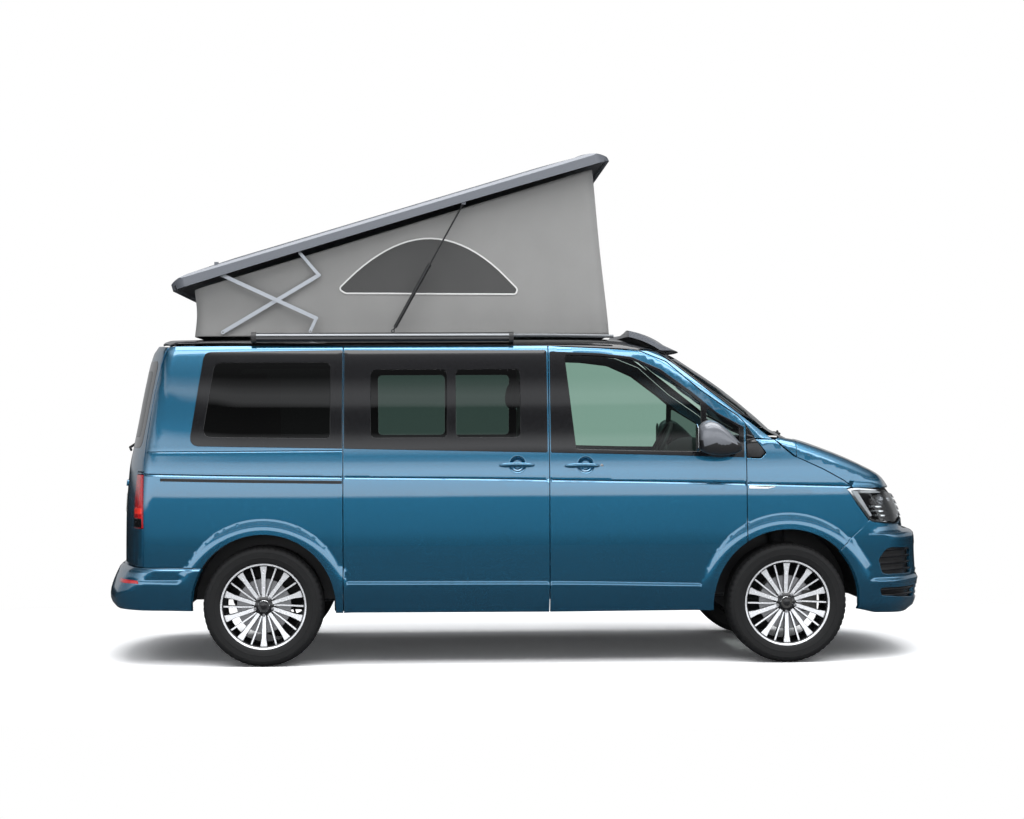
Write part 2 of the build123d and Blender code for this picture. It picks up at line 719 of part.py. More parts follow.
def make_rear_bumper():
    axis_x = TAIL_X + REAR_BOW_R
    skin = bumper_form(REAR_BUMPER_PROFILE, axis_x) - bumper_form(REAR_BUMPER_PROFILE, axis_x, BUMPER_T)
    rows = [
        (TAIL_X - 50, 250, 0),
        (-1700, 250, 0),
        (-1700, BUMPER_TOP_Z - PANEL_GAP, 0),
        (TAIL_X - 50, BUMPER_TOP_Z - PANEL_GAP, 0),
    ]
    skin = skin & across(rows)
    for cut in arch_cutter(REAR_AXLE_X, REAR_ARCH_R):
        skin = skin - cut
    for side in (RIGHT, LEFT):
        y_low, y_high = sorted((side * 770, side * 860))
        lug = block(TAIL_X + 100, REAR_CUT_X, y_low, y_high, BUMPER_TOP_Z - 40, BUMPER_TOP_Z - FIT)
        skin = skin + (lug & (hull(8) - hull(WALL)))
    return biggest(skin)


TOW_EYE_R = 11.0
TOW_EYE_X = 2330.0
TOW_EYE_Y = -525.0
TOW_EYE_Z = 440.0


# ---------------------------------------------------------------- doors and lids
def door_panel(outline, side):
    """The hull's skin inside a shut line, a wall thick at its lower edge too."""
    panel = (HULL - DOOR_IN) & side_cutter(outline, side, -DOOR_GAP / 2)
    foot = HALF_WIDTH - WALL - 60
    return biggest(panel - block(TAIL_X, NOSE_X, -foot, foot, SILL_Z - 10, SILL_Z + 100))


def make_front_door(side):
    """Door skin and frame as one panel, its pane, and its mirror."""
    panel = door_panel(FRONT_DOOR, side)
    panel, pane = side_glazed(panel, FRONT_WINDOW, side)
    return biggest(panel), biggest(pane)


MIRROR_Y = 1148.0
MIRROR_SIDE = [
    (1036, 1200, 0),
    (1240, 1216, 0),
    (1272, 1236, 1),
    (1272, 1290, 0),
    (1238, 1352, 1),
    (1150, 1398, 0),
    (1080, 1402, 0),
    (1030, 1392, 1),
    (1020, 1345, 0),
    (1020, 1216, 0),
]
MIRROR_IN_Y = 985.0
MIRROR_FOOT_Y = 880.0


def make_mirror(side):
    """Door mirror: a rounded head on a foot that stands on the door skin."""
    head = extrude(Plane.XZ * outline_face(MIRROR_SIDE), amount=MIRROR_Y - MIRROR_IN_Y, dir=(0, -1, 0))
    foot = block(1110, 1236, -30, MIRROR_IN_Y - MIRROR_FOOT_Y, 1176, 1232)
    piece = Pos(0, -MIRROR_IN_Y, 0) * (head + foot)
    piece = Pos(0, -FIT, 0) * biggest(piece - HULL)
    return piece if side == RIGHT else mirrored(piece)


def make_sliding_door():
    panel = door_panel(SLIDING_DOOR, RIGHT)
    panel, pane = side_glazed(panel, SLIDING_WINDOW, RIGHT)
    return biggest(panel), biggest(pane)


def make_tailgate():
    panel = (HULL - DOOR_IN) & across(TAILGATE_SIDE, -DOOR_GAP / 2)
    panel = biggest(panel - tail_corners(-DOOR_GAP / 2))
    panel, pane = end_glazed(panel, TAILGATE_WINDOW, TAIL_X, -1900)
    return biggest(panel), biggest(pane)


def make_tail_lamps():
    skin = HULL - hull(WALL + SEAL_GAP - FIT)
    lamps = skin & across(TAIL_LAMP)
    inner = TAIL_LAMP_INNER_Y + DOOR_GAP / 2
    lamps = lamps - block(TAIL_X, TAIL_X + 900, -inner, inner, 0, 2000)
    return lamps.solids()


# ---------------------------------------------------------------- pop-top roof
POP_AXIS = Axis((POP_POLE_X, 0, POP_POLE_Z), (0, 1, 0))


def raised(piece):
    """A piece of the closed roof, turned up to where it stands open."""
    return piece.rotate(POP_AXIS, -POP_ANGLE)


def lowered_point(x, z):
    """Where a point of the raised roof lies once the roof is closed."""
    turn = radians(POP_ANGLE)
    dx, dz = x - POP_POLE_X, z - POP_POLE_Z
    return POP_POLE_X + dx * cos(turn) + dz * sin(turn), POP_POLE_Z - dx * sin(turn) + dz * cos(turn)


# columns: x, z, middle point of an arc; the closed shell's outer centre-line profile
POP_PROFILE = [
    (POP_REAR_X, POP_RIM_Z - 3, 0),
    (-680, POP_RIM_Z + 6, 1),
    (POP_FRONT_X, POP_RIM_Z - 2, 0),
    (POP_FRONT_X - 10, POP_RIM_Z + 22, 0),
    (POP_FRONT_X - 60, POP_RIM_Z + 52, 1),
    (POP_FRONT_X - 200, POP_TOP_Z - 22, 0),
    (-780, POP_TOP_Z, 1),
    (POP_REAR_X + 150, POP_TOP_Z - 24, 0),
    (POP_REAR_X + 36, POP_TOP_Z - 42, 1),
    (POP_REAR_X, POP_RIM_Z + 34, 0),
]


def make_pop_shell():
    outer = extrude(Plane.XZ * outline_face(POP_PROFILE), amount=POP_HALF_W, both=True)
    inner_rows = inset_points(POP_PROFILE, POP_WALL)
    mouth = [(inner_rows[0][0], POP_RIM_Z - 60, 0), (inner_rows[2][0], POP_RIM_Z - 60, 0)]
    inner_rows = mouth + inner_rows[3:]
    inner = extrude(Plane.XZ * outline_face(inner_rows), amount=POP_HALF_W - POP_WALL, both=True)
    round_plan = fillet(block(POP_REAR_X, POP_FRONT_X, -POP_HALF_W, POP_HALF_W, POP_RIM_Z - 100,
                              POP_TOP_Z + 50).edges().filter_by(Axis.Z), 90)
    shell = (outer & round_plan) - inner
    edge = POP_HALF_W
    crown = [(-edge, POP_RIM_Z - 80, 0), (edge, POP_RIM_Z - 80, 0), (edge, POP_TOP_Z - 40, 0),
             (edge - 14, POP_TOP_Z - 24, 1), (edge - 50, POP_TOP_Z - 14, 0), (0, POP_TOP_Z, 1),
             (-edge + 50, POP_TOP_Z - 14, 0), (-edge + 14, POP_TOP_Z - 24, 1),
             (-edge, POP_TOP_Z - 40, 0)]
    shell = shell & extrude(Plane.YZ * outline_face(crown), amount=NOSE_X, both=True)
    shell = raised(biggest(shell))
    for (x, z), y_tip in ((BRACE_ROOF, BAR_Y + BAR_STEP + 1), (STRUT_TOP, STRUT_Y - EYE_W / 2)):
        hanger = block(x - 12, x + 12, POP_HALF_W - POP_WALL - 8, POP_HALF_W - POP_WALL + 6, z - 10, z + 60)
        pin = rod_y(x, z, BAR_PIN_R - FIT, y_tip, POP_HALF_W - POP_WALL)
        shell = shell + pair(hanger + pin)[0] + pair(hanger + pin)[1]
    return biggest(shell)


CANVAS_FOOT_Z = ROOF_Z + FIT
CANVAS_SIDE = [
    (CANVAS_REAR_X, CANVAS_FOOT_Z, 0),
    (CANVAS_FRONT_X, CANVAS_FOOT_Z, 0),
    (CANVAS_FRONT_X - 34, 2400, 0),
    (CANVAS_FRONT_X - 96, 2880, 0),
    (CANVAS_REAR_X, 2170, 0),
]


def make_canvas():
    outer = extrude(Plane.XZ * outline_face(CANVAS_SIDE), amount=CANVAS_HALF_W, both=True)
    rows = inset_points(CANVAS_SIDE, CANVAS_T)
    inner_rows = [(rows[0][0], CANVAS_FOOT_Z - 50, 0), (rows[1][0], CANVAS_FOOT_Z - 50, 0), rows[2],
                  (rows[3][0] - 12, rows[3][1] + 150, 0), (rows[4][0], rows[4][1] + 150, 0)]
    inner = extrude(Plane.XZ * outline_face(inner_rows), amount=CANVAS_HALF_W - CANVAS_T, both=True)
    return biggest(outer - inner)


def flat_bar(start, end, layer, width=BAR_W):
    """Flat bar with round ends between two pivots, in a layer counted outwards."""
    (x0, z0), (x1, z1) = start, end
    length = hypot(x1 - x0, z1 - z0)
    y = -(BAR_Y + layer * BAR_STEP)
    flat = Rectangle(length, width)
    flat = flat + Pos(-length / 2, 0) * Circle(width / 2) + Pos(length / 2, 0) * Circle(width / 2)
    bar = extrude(flat, amount=BAR_T)
    bar = Rot(90, 0, 0) * bar
    bar = bar.rotate(Axis((0, 0, 0), (0, 1, 0)), -degrees(atan2(z1 - z0, x1 - x0)))
    bar = Pos((x0 + x1) / 2, y + BAR_T, (z0 + z1) / 2) * bar
    for x, z in (start, end):
        bar = bar - rod_y(x, z, BAR_PIN_R, y - 5, y + BAR_T + 5)
    return bar


def bar_pin(point, layer_from, layer_to):
    """Rivet fixed in one layer's bar that reaches through another's eye."""
    y_from = -(BAR_Y + layer_to * BAR_STEP) - 1
    y_to = -(BAR_Y + layer_from * BAR_STEP) + BAR_T
    return rod_y(*point, BAR_PIN_R - FIT, y_from, y_to)


def plug(point, layer):
    """Fills a bar's eye where its own rivet sits."""
    y = -(BAR_Y + layer * BAR_STEP)
    return rod_y(*point, BAR_PIN_R, y, y + BAR_T)


def with_eye(bar, point):
    """A strut's end with its ring round a pin."""
    room = rod_y(*point, BAR_PIN_R, -STRUT_Y - EYE_W, -STRUT_Y + EYE_W)
    return (bar + rod_y(*point, STRUT_R, -STRUT_Y - EYE_W / 2, -STRUT_Y + EYE_W / 2)) - room


def make_pop_arms():
    """The raised roof's scissor bars, links and gas struts, both sides in each node."""
    strut_axis = Vector(STRUT_TOP[0] - STRUT_FOOT[0], 0, STRUT_TOP[1] - STRUT_FOOT[1]).normalized()
    foot = Vector(STRUT_FOOT[0], -STRUT_Y, STRUT_FOOT[1])
    top = Vector(STRUT_TOP[0], -STRUT_Y, STRUT_TOP[1])
    barrel_end = foot + strut_axis * STRUT_BARREL
    barrel = rod(foot, barrel_end, STRUT_ROD_R) + rod(foot + strut_axis * 24, barrel_end, STRUT_R)
    barrel = barrel - rod(foot + strut_axis * 40, barrel_end + strut_axis, STRUT_ROD_R + FIT)
    piston = rod(foot + strut_axis * (STRUT_BARREL - 17), top, STRUT_ROD_R)
    barrel = with_eye(barrel, STRUT_FOOT)
    piston = with_eye(piston, STRUT_TOP)
    arm = flat_bar(ARM_FOOT, ARM_TOP, 0) + plug(ARM_TOP, 0) + bar_pin(ARM_TOP, 0, 1)
    brace_face = -(BAR_Y + 2 * BAR_STEP)
    washer = rod_y(*BRACE_END, BAR_PIN_R + 3, brace_face - (BAR_STEP - BAR_T - FIT), brace_face + 1)
    brace = flat_bar(BRACE_ROOF, BRACE_END, 2) + plug(BRACE_END, 2) + washer
    return {
        "scissor_arms": pair(arm),
        "scissor_braces": pair(brace),
        "scissor_top_links": pair(flat_bar(ARM_TOP, LINK_ROOF, 1, BAR_W - 4) + plug(LINK_ROOF, 1)),
        "scissor_foot_links": pair(flat_bar(LINK_FOOT, BRACE_END, 3, BAR_W - 4) + plug(BRACE_END, 3)),
        "strut_barrels": pair(barrel),
        "strut_rods": pair(piston),
    }


# ---------------------------------------------------------------- wheels
# columns: radius, half-width
TYRE_SECTION = [
    (RIM_R - 17, 97), (RIM_R + 0.5, 98), (RIM_R + 8, 119), (RIM_R + 30, TYRE_W / 2),
    (RIM_R + 62, TYRE_W / 2), (TYRE_R - 12, 116), (TYRE_R - 1, 96), (TYRE_R, 60),
]
RIM_BARREL_R = RIM_R - 17.3
RIM_HOLLOW_R = RIM_R - 30.0
DISC_R = 160.0


def wheel_y(side):
    return side * TRACK / 2


def turned_y(points, centre):
    """Ring of revolution about a wheel's axle from (radius, y) rows."""
    face = make_face(Polyline(*points, close=True))
    ring = revolve(face, axis=Axis.Y)
    return Pos(*centre) * ring


def make_tyre(axle_x, side):
    near = [(r, -w) for r, w in TYRE_SECTION]
    far = [(r, w) for r, w in reversed(TYRE_SECTION)]
    return turned_y(near + far, (axle_x, wheel_y(side), TYRE_R))


def make_rim(axle_x, side):
    """Barrel, hub and paired spokes, with the face outwards, and the brake disc behind."""
    half = RIM_W / 2
    barrel = [(RIM_HOLLOW_R, -half), (RIM_R, -half), (RIM_R, -half + 8), (RIM_BARREL_R, -half + 10),
              (RIM_BARREL_R, half - 10), (RIM_R, half - 8), (RIM_R, half), (RIM_HOLLOW_R, half)]
    rim = turned_y(barrel, (0, 0, 0))
    hub_rows = [(HUB_BORE_R, half - 62), (78, half - 62), (70, half - 28), (HUB_BORE_R, half - 24)]
    hub = turned_y(hub_rows, (0, 0, 0))
    rim = rim + hub
    for k in range(2 * SPOKES):
        turn = k * 180.0 / SPOKES
        width = 26.0 if k % 2 == 0 else 13.0
        spoke = block(-width / 2, width / 2, half - 46, half - 20, 60, RIM_HOLLOW_R + 4)
        rim = rim + spoke.rotate(Axis.Y, turn)
    for k in range(BOLT_COUNT):
        angle = radians(90 + k * 360.0 / BOLT_COUNT)
        hole = rod_y(BOLT_PCD / 2 * cos(angle), BOLT_PCD / 2 * sin(angle), BOLT_R, half - 90, half)
        rim = rim - hole
    disc = turned_y([(66, 18), (DISC_R, 18), (DISC_R, 42), (80, 42), (80, half - 60), (66, half - 60)],
                    (0, 0, 0))
    rim = rim + disc
    if side == RIGHT:
        rim = mirrored(rim)
    return biggest(Pos(axle_x, wheel_y(side), TYRE_R) * rim)


STUB_R = HUB_BORE_R - 0.5


def stub(axle_x, side, inner_y):
    """Stub axle from inner_y out through the hub."""
    outer = TRACK / 2 + RIM_W / 2 - 30
    piece = rod_y(axle_x, TYRE_R, STUB_R, inner_y, outer)
    return piece if side == LEFT else mirrored(piece)


def make_knuckle(side):
    """Front hub carrier with stub axle, ball-joint socket and brake caliper."""
    y = TRACK / 2
    x = FRONT_AXLE_X
    piece = stub(x, LEFT, y - 60)
    piece = piece + rod_y(x, TYRE_R, 62, y - 60, y + 10)
    piece = piece + block(x - 26, x + 26, y - 60, y - 12, ARM_LOW_Z + 14, TYRE_R)
    piece = piece - rod((x, KINGPIN_Y, ARM_LOW_Z), (x, KINGPIN_Y, ARM_LOW_Z + 44), BALL_PIN_R + FIT)
    caliper = block(x + 95, x + 178, y + 4, y + 60, 290, 410)
    caliper = caliper - Pos(x, y + 33, TYRE_R) * Rot(90, 0, 0) * Cylinder(DISC_R + 4, 34)
    arm = block(x + 40, x + 178, y - 26, y + 12, 320, 380)
    piece = biggest(piece + caliper + arm)
    return piece if side == LEFT else mirrored(piece)


# ---------------------------------------------------------------- floor, arches and cabin
CABIN_HALF_W = 872.0
DASH_X = 1180.0
BULKHEAD_X = 1380.0


def make_floor():
    """Load floor, front footwell and the bulkhead to the engine bay."""
    half = CABIN_HALF_W
    floor = block(-2150, 760, -half, half, FLOOR_Z - FLOOR_T, FLOOR_Z)
    well = block(700, BULKHEAD_X, -half, half, FLOOR_Z - 2 * FLOOR_T, FLOOR_Z - FLOOR_T)
    rows = [
        (BULKHEAD_X - 60, FLOOR_Z - 2 * FLOOR_T, 0),
        (BULKHEAD_X, FLOOR_Z - 2 * FLOOR_T, 0),
        (BULKHEAD_X + 30, 1205, 0),
        (BULKHEAD_X - 30, 1205, 0),
    ]
    wall = extrude(Plane.XZ * outline_face(rows), amount=half, both=True)
    tray = floor + well + wall
    for cut in liner_space(REAR_AXLE_X, REAR_ARCH_R + LINER, REAR_LINER_Y - LINER):
        tray = tray - cut
    for cut in liner_space(FRONT_AXLE_X, FRONT_ARCH_R + LINER, STEER_INNER_Y - LINER):
        tray = tray - cut
    for beam in sills_and_posts(FIT):
        tray = tray - beam
    return biggest(tray & CABIN_IN)


def liner_space(axle_x, radius, inner_y):
    """The room of an axle's two wheel arches, from the inner wall outwards."""
    reach = HALF_WIDTH
    return [rod_y(axle_x, TYRE_R, radius + FIT, inner_y - FIT, reach),
            rod_y(axle_x, TYRE_R, radius + FIT, -reach, -inner_y + FIT)]


def make_liners():
    """Half-round wheel-arch liners."""
    liners = []
    for axle_x, radius, inner_y in ((FRONT_AXLE_X, FRONT_ARCH_R, STEER_INNER_Y),
                                    (REAR_AXLE_X, REAR_ARCH_R, REAR_LINER_Y)):
        outer = rod_y(axle_x, TYRE_R, radius + LINER, inner_y - LINER, HALF_WIDTH - 66)
        inner = rod_y(axle_x, TYRE_R, radius, inner_y, HALF_WIDTH)
        low = block(axle_x - 600, axle_x + 600, 0, HALF_WIDTH, 0, SILL_Z + 10)
        liner = (outer - inner - low) & CABIN_IN
        if axle_x == FRONT_AXLE_X:
            liner = liner - rod(SPRING_FOOT, SPRING_TOP, SPRING_R + PANEL_GAP)
        else:
            liner = liner - rod_y(axle_x, TYRE_R, CARRIER_R + PANEL_GAP, 0, HALF_WIDTH)
        liners += pair(biggest(liner))
    return liners


SPRING_FOOT = (FRONT_AXLE_X, 560.0, 215.0)
SPRING_TOP = (FRONT_AXLE_X, 540.0, 880.0)
SPRING_R = 46.0
DAMPER_R = 26.0
CARRIER_R = 60.0


def make_dashboard():
    rows = [
        (DASH_X - 140, 900, 0),
        (DASH_X + 140, 900, 0),
        (BULKHEAD_X - 40, 1215, 0),
        (BULKHEAD_X + 20, 1262, 0),
        (DASH_X + 60, 1272, 0),
        (DASH_X - 110, 1236, 1),
        (DASH_X - 170, 1130, 0),
    ]
    dash = extrude(Plane.XZ * outline_face(rows), amount=HALF_WIDTH, both=True)
    return biggest((dash & CABIN_IN) - steering_column(COLUMN_R + FIT))


WHEEL_CENTRE = (940.0, 430.0, 1205.0)
WHEEL_R = 185.0
WHEEL_TILT = 62.0
COLUMN_R = 28.0


def steering_column(radius):
    return Pos(*WHEEL_CENTRE) * Rot(0, -WHEEL_TILT, 0) * Pos(0, 0, -150) * Cylinder(radius, 240)


def make_steering_wheel():
    ring = Torus(WHEEL_R, 15)
    hub = Pos(0, 0, -25) * Cylinder(62, 50)
    bars = Box(2 * WHEEL_R, 34, 16) + Pos(0, -WHEEL_R / 2, 0) * Box(34, WHEEL_R, 16)
    wheel = Pos(*WHEEL_CENTRE) * Rot(0, -WHEEL_TILT, 0) * (ring + hub + bars)
    return biggest(wheel + steering_column(COLUMN_R))


SEAT_W = 500.0
SEAT_Z = 640.0


def seat_shape(x, y, width, base_low, face=1):
    """One seat facing the front (face 1): base, cushion, reclined back and headrest, fused."""
    base = block(-220, 220, -width / 2 + 40, width / 2 - 40, base_low, SEAT_Z + 120)
    cushion = fillet(block(-260, 250, -width / 2, width / 2, SEAT_Z + 100, SEAT_Z + 250).edges(), 32)
    back = fillet(block(-75, 55, -width / 2 + 15, width / 2 - 15, 0, 640).edges(), 30)
    head = fillet(block(-50, 50, -130, 130, 610, 800).edges(), 26)
    back = (back + head).rotate(Axis.Y, -16)
    back = Pos(-250, 0, SEAT_Z + 190) * back
    return Pos(x, y, 0) * (base + cushion + back)


def make_seats():
    return [biggest(seat_shape(470, y, SEAT_W, FLOOR_Z)) for y in (-430, 430)]


def make_bench():
    """Two-place rear bench with backrest and headrests."""
    return biggest(seat_shape(-1240, -110, 1000, FLOOR_Z))


def make_kitchen():
    """Cabinet along the left wall, with its worktop."""
    low = block(-1950, -120, 480, CABIN_HALF_W - 12, FLOOR_Z, 1150)
    tall = block(-1950, -1560, 560, 780, 1150, 1700)
    cut = block(-1900, -170, 430, 520, FLOOR_Z + 60, 1100) & block(-3000, 3000, 430, 484, 0, 2000)
    cabinet = low + tall - cut
    for cutter in liner_space(REAR_AXLE_X, REAR_ARCH_R + LINER, 470):
        cabinet = cabinet - cutter
    return biggest(cabinet & CABIN_IN)


# ---------------------------------------------------------------- underbody
RAIL_Y = 425.0
RAIL_HALF = 30.0
BALL_PIN_R = 8.0
ARM_LOW_Z = 196.0
ARM_HIGH_Z = 470.0


def make_front_subframe():
    """Crossmember, front rails, suspension arms with their ball pins, and spring struts."""
    axle_x = FRONT_AXLE_X
    frame = block(axle_x - 260, axle_x + 160, -400, 400, 250, 320)
    frame = frame - block(axle_x - 180, axle_x + 80, -300, 300, 200, 400)
    frame = frame + block(2160, 2240, -560, 560, 380, 500)
    axis_x = NOSE_X - FRONT_BOW_R
    room = bumper_form(FRONT_BUMPER_PROFILE, axis_x, BUMPER_T + FIT)
    for side in (RIGHT, LEFT):
        y_low, y_high = sorted((side * (RAIL_Y - RAIL_HALF), side * (RAIL_Y + RAIL_HALF)))
        rail = block(1250, NOSE_X, y_low, y_high, 360, FLOOR_Z - 2 * FLOOR_T - FIT)
        frame = frame + (rail & (room + block(1200, 2250, -500, 500, 300, 500)))
        for x in (axle_x - 220, axle_x + 120):
            frame = frame + block(x - 40, x + 40, y_low, y_high, 250, 370)
        arm_y = sorted((side * 380, side * (KINGPIN_Y + 18)))
        frame = frame + block(axle_x - 22, axle_x + 22, *arm_y, ARM_LOW_Z - 9, ARM_LOW_Z + 9)
        frame = frame + block(axle_x - 60, axle_x + 60, *sorted((side * 380, side * 400)), ARM_LOW_Z - 9, 260)
        frame = frame + rod((axle_x, side * KINGPIN_Y, ARM_LOW_Z), (axle_x, side * KINGPIN_Y, ARM_LOW_Z + 34),
                            BALL_PIN_R)
        foot = (SPRING_FOOT[0], side * SPRING_FOOT[1], ARM_LOW_Z)
        top = (SPRING_TOP[0], side * SPRING_TOP[1], SPRING_TOP[2])
        middle = (SPRING_TOP[0], side * (SPRING_FOOT[1] + SPRING_TOP[1]) / 2, 540)
        frame = frame + rod(foot, top, DAMPER_R) + rod(middle, top, SPRING_R)
        tie_y = sorted((side * (330 + FIT), side * (RAIL_Y - RAIL_HALF)))
        for x in (1700, 1900):
            frame = frame + block(x, x + 70, *tie_y, 400, 439)
    return biggest(frame)


def make_rear_subframe():
    beam = block(-1300, -1180, -560, 560, 380, 470)
    frame = beam
    for side in (RIGHT, LEFT):
        frame = frame + stub(REAR_AXLE_X, side, TRACK / 2 - 220)
        y_low, y_high = sorted((side * 560, side * 630))
        arm = block(REAR_AXLE_X - 60, -1180, y_low, y_high, 300, 400)
        carrier = rod_y(REAR_AXLE_X, TYRE_R, 60, *sorted((side * 560, side * (TRACK / 2 - 2))))
        spring = rod((-1240, side * 500, 460), (-1240, side * 500, FLOOR_Z - FLOOR_T), 50)
        frame = frame + arm + carrier + spring
    return biggest(frame)


def make_engine():
    return block(1500, 2060, -330, 330, 420, 900)


def make_exhaust():
    riser = rod((1530, -200, 350), (1530, -200, 420 - FIT), 30)
    pipe = rod((1556, -200, 360), (-700, -200, 330), 30) + riser
    box = rod((-700, -200, 330), (-1080, -200, 340), 90)
    tail = rod((-1080, -200, 340), (-1180, -200, 340), 30)
    return biggest(pipe + box + tail)


def make_tank():
    return fillet(block(-620, 320, -60, 620, 300, FLOOR_Z - FLOOR_T - FIT).edges(), 40)


# ---------------------------------------------------------------- roof fittings
AWNING_REAR_X = -1507.0
AWNING_FRONT_X = -38.0
RAIL_FRONT_X = 560.0


def make_awning():
    """Awning case along the right roof edge, on its rail."""
    case = block(AWNING_REAR_X, AWNING_FRONT_X, -822, -752, ROOF_Z + 1, ROOF_Z + 40)
    case = fillet(case.edges().filter_by(Axis.X), 12)
    foot = block(AWNING_REAR_X, AWNING_FRONT_X, -800, -752, ROOF_Z - 90, ROOF_Z + 20)
    return Pos(0, 0, FIT) * biggest(case + foot - HULL)


def make_rails():
    """Roof rails: right ahead of the awning, left along the whole roof."""
    rails = []
    for side, x_low in ((RIGHT, AWNING_FRONT_X + FIT), (LEFT, AWNING_REAR_X)):
        y_low, y_high = sorted((side * 796, side * 758))
        rail = block(x_low, RAIL_FRONT_X, y_low, y_high, ROOF_Z - 90, ROOF_Z + 12)
        rails.append(Pos(0, 0, FIT) * biggest(rail - HULL))
    return rails


def make_deflector():
    """Cowl on the roof's front edge, ahead of the pop-top."""
    rows = [
        (POP_FRONT_X + 8, ROOF_Z - 90, 0),
        (1010, ROOF_Z - 90, 0),
        (925, 1842, 0),
        (850, 1888, 1),
        (720, 1925, 0),
        (POP_FRONT_X + 8, 1908, 0),
    ]
    form = revolve(Plane.XZ * outline_face(rows), axis=Axis((NOSE_X - FRONT_BOW_R, 0, 0), (0, 0, 1)))
    form = form & block(POP_FRONT_X + 8, 1100, -700, 700, 1500, 2000)
    return Pos(0, 0, FIT) * biggest(form - HULL)


def make_all():
    """Every piece by its node name; a list holds like pieces on one body."""
    pieces = {
        "bonnet": make_bonnet(),
        "front_wings": make_wings(),
        "cowl_panel": make_cowl(),
        "headlamps": make_headlamps(),
        "front_grille": make_grille(),
        "front_panel": make_front_panel(),
        "front_bumper": make_front_bumper(),
        "rear_bumper": make_rear_bumper(),
        "tail_lamps": make_tail_lamps(),
        "pop_top_shell": make_pop_shell(),
        "pop_top_canvas": make_canvas(),
        "floor_pan": make_floor(),
        "wheel_arch_liners": make_liners(),
        "dashboard": make_dashboard(),
        "steering_wheel": make_steering_wheel(),
        "front_seats": make_seats(),
        "rear_bench": make_bench(),
        "kitchen_cabinet": make_kitchen(),
        "front_subframe": make_front_subframe(),
        "rear_subframe": make_rear_subframe(),
        "engine_block": make_engine(),
        "exhaust": make_exhaust(),
        "fuel_tank": make_tank(),
        "awning_case": make_awning(),
        "roof_rails": make_rails(),
        "wind_deflector": make_deflector(),
    }
    pieces.update(make_pop_arms())
    body = make_body()
    body, screen = end_glazed(body, WINDSCREEN, 700, NOSE_X)
    pieces["windscreen"] = biggest(screen)
    panes = []
    for side, outline in ((RIGHT, QUARTER_WINDOW), (LEFT, QUARTER_WINDOW), (LEFT, SLIDING_WINDOW)):
        body, pane = side_glazed(body, outline, side)
        panes.append(biggest(pane))
    door, pane = make_sliding_door()
    pieces["body_shell"] = biggest(body)
    pieces["side_glass"] = panes + [pane]
    pieces["sliding_door"] = door
    pieces["tailgate"], pieces["tailgate_glass"] = make_tailgate()
    for side, hand in ((RIGHT, "right"), (LEFT, "left")):
        door, pane = make_front_door(side)
        pieces["front_door_" + hand] = door
        pieces["front_door_glass_" + hand] = pane
        pieces["mirror_" + hand] = make_mirror(side)
        pieces["knuckle_" + hand] = make_knuckle(side)
        for axle, axle_x in (("front", FRONT_AXLE_X), ("rear", REAR_AXLE_X)):
            pieces["tyre_%s_%s" % (axle, hand)] = make_tyre(axle_x, side)
            pieces["rim_%s_%s" % (axle, hand)] = make_rim(axle_x, side)
    return pieces


os.makedirs("parts", exist_ok=True)
for node, solids in make_all().items():
    solid_list = list(solids) if isinstance(solids, (list, ShapeList)) else [solids]
    export_step(Compound(solid_list) if len(solid_list) > 1 else solid_list[0], "parts/%s.step" % node)
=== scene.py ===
from math import atan2, cos, pi, radians, sin

import bmesh
import bpy
import numpy as np
from mathutils import Matrix, Vector
from mathutils.geometry import delaunay_2d_cdt, tessellate_polygon


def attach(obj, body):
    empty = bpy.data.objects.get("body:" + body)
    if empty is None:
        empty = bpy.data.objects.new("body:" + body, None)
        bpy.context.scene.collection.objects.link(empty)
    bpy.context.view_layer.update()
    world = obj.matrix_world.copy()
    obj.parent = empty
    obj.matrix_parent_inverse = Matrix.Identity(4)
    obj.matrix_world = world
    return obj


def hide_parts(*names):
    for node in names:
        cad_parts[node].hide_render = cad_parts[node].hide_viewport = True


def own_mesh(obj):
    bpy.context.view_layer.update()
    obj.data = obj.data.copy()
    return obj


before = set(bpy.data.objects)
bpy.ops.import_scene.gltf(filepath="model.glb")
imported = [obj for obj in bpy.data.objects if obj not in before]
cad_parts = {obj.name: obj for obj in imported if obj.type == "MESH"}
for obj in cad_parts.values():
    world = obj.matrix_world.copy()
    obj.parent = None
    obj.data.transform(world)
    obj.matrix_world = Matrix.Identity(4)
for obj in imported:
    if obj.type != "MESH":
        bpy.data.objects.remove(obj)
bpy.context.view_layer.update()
scene = bpy.context.scene
RIGHT, LEFT = -1, 1
WORD = {RIGHT: "right", LEFT: "left"}

# ------------------------------------------------------------------ camera
# solved from the wheel centres and the van's outline in the photo
CAM_AT = (-0.502, -12.930, 1.424)
CAM_YAW, CAM_PITCH, CAM_ROLL = radians(2.2253), radians(0.1702), radians(-0.2364)
CAM_LENS = 73.894


def make_camera():
    ahead = Vector((sin(CAM_YAW) * cos(CAM_PITCH), cos(CAM_YAW) * cos(CAM_PITCH), sin(CAM_PITCH)))
    across = Vector((cos(CAM_YAW), -sin(CAM_YAW), 0))
    upwards = across.cross(ahead)
    side = cos(CAM_ROLL) * across + sin(CAM_ROLL) * upwards
    top = -sin(CAM_ROLL) * across + cos(CAM_ROLL) * upwards
    data = bpy.data.cameras.new("camera")
    data.sensor_width = 36.0
    data.lens = CAM_LENS
    data.clip_end = 200.0
    cam = bpy.data.objects.new("camera", data)
    turn = Matrix((side, top, -ahead)).transposed()
    cam.matrix_world = Matrix.Translation(CAM_AT) @ turn.to_4x4()
    scene.collection.objects.link(cam)
    scene.camera = cam


make_camera()

# ------------------------------------------------------------------ the body's surface, metres
NOSE_X, TAIL_X = 2.452, -2.452
REAR_AXLE_X, FRONT_AXLE_X = -1.456, 1.544
TYRE_R = 0.343
REAR_BOW_X = TAIL_X + 2.300
HANDLE_BOWLS = ((-0.005, 1.145), (0.385, 1.140))


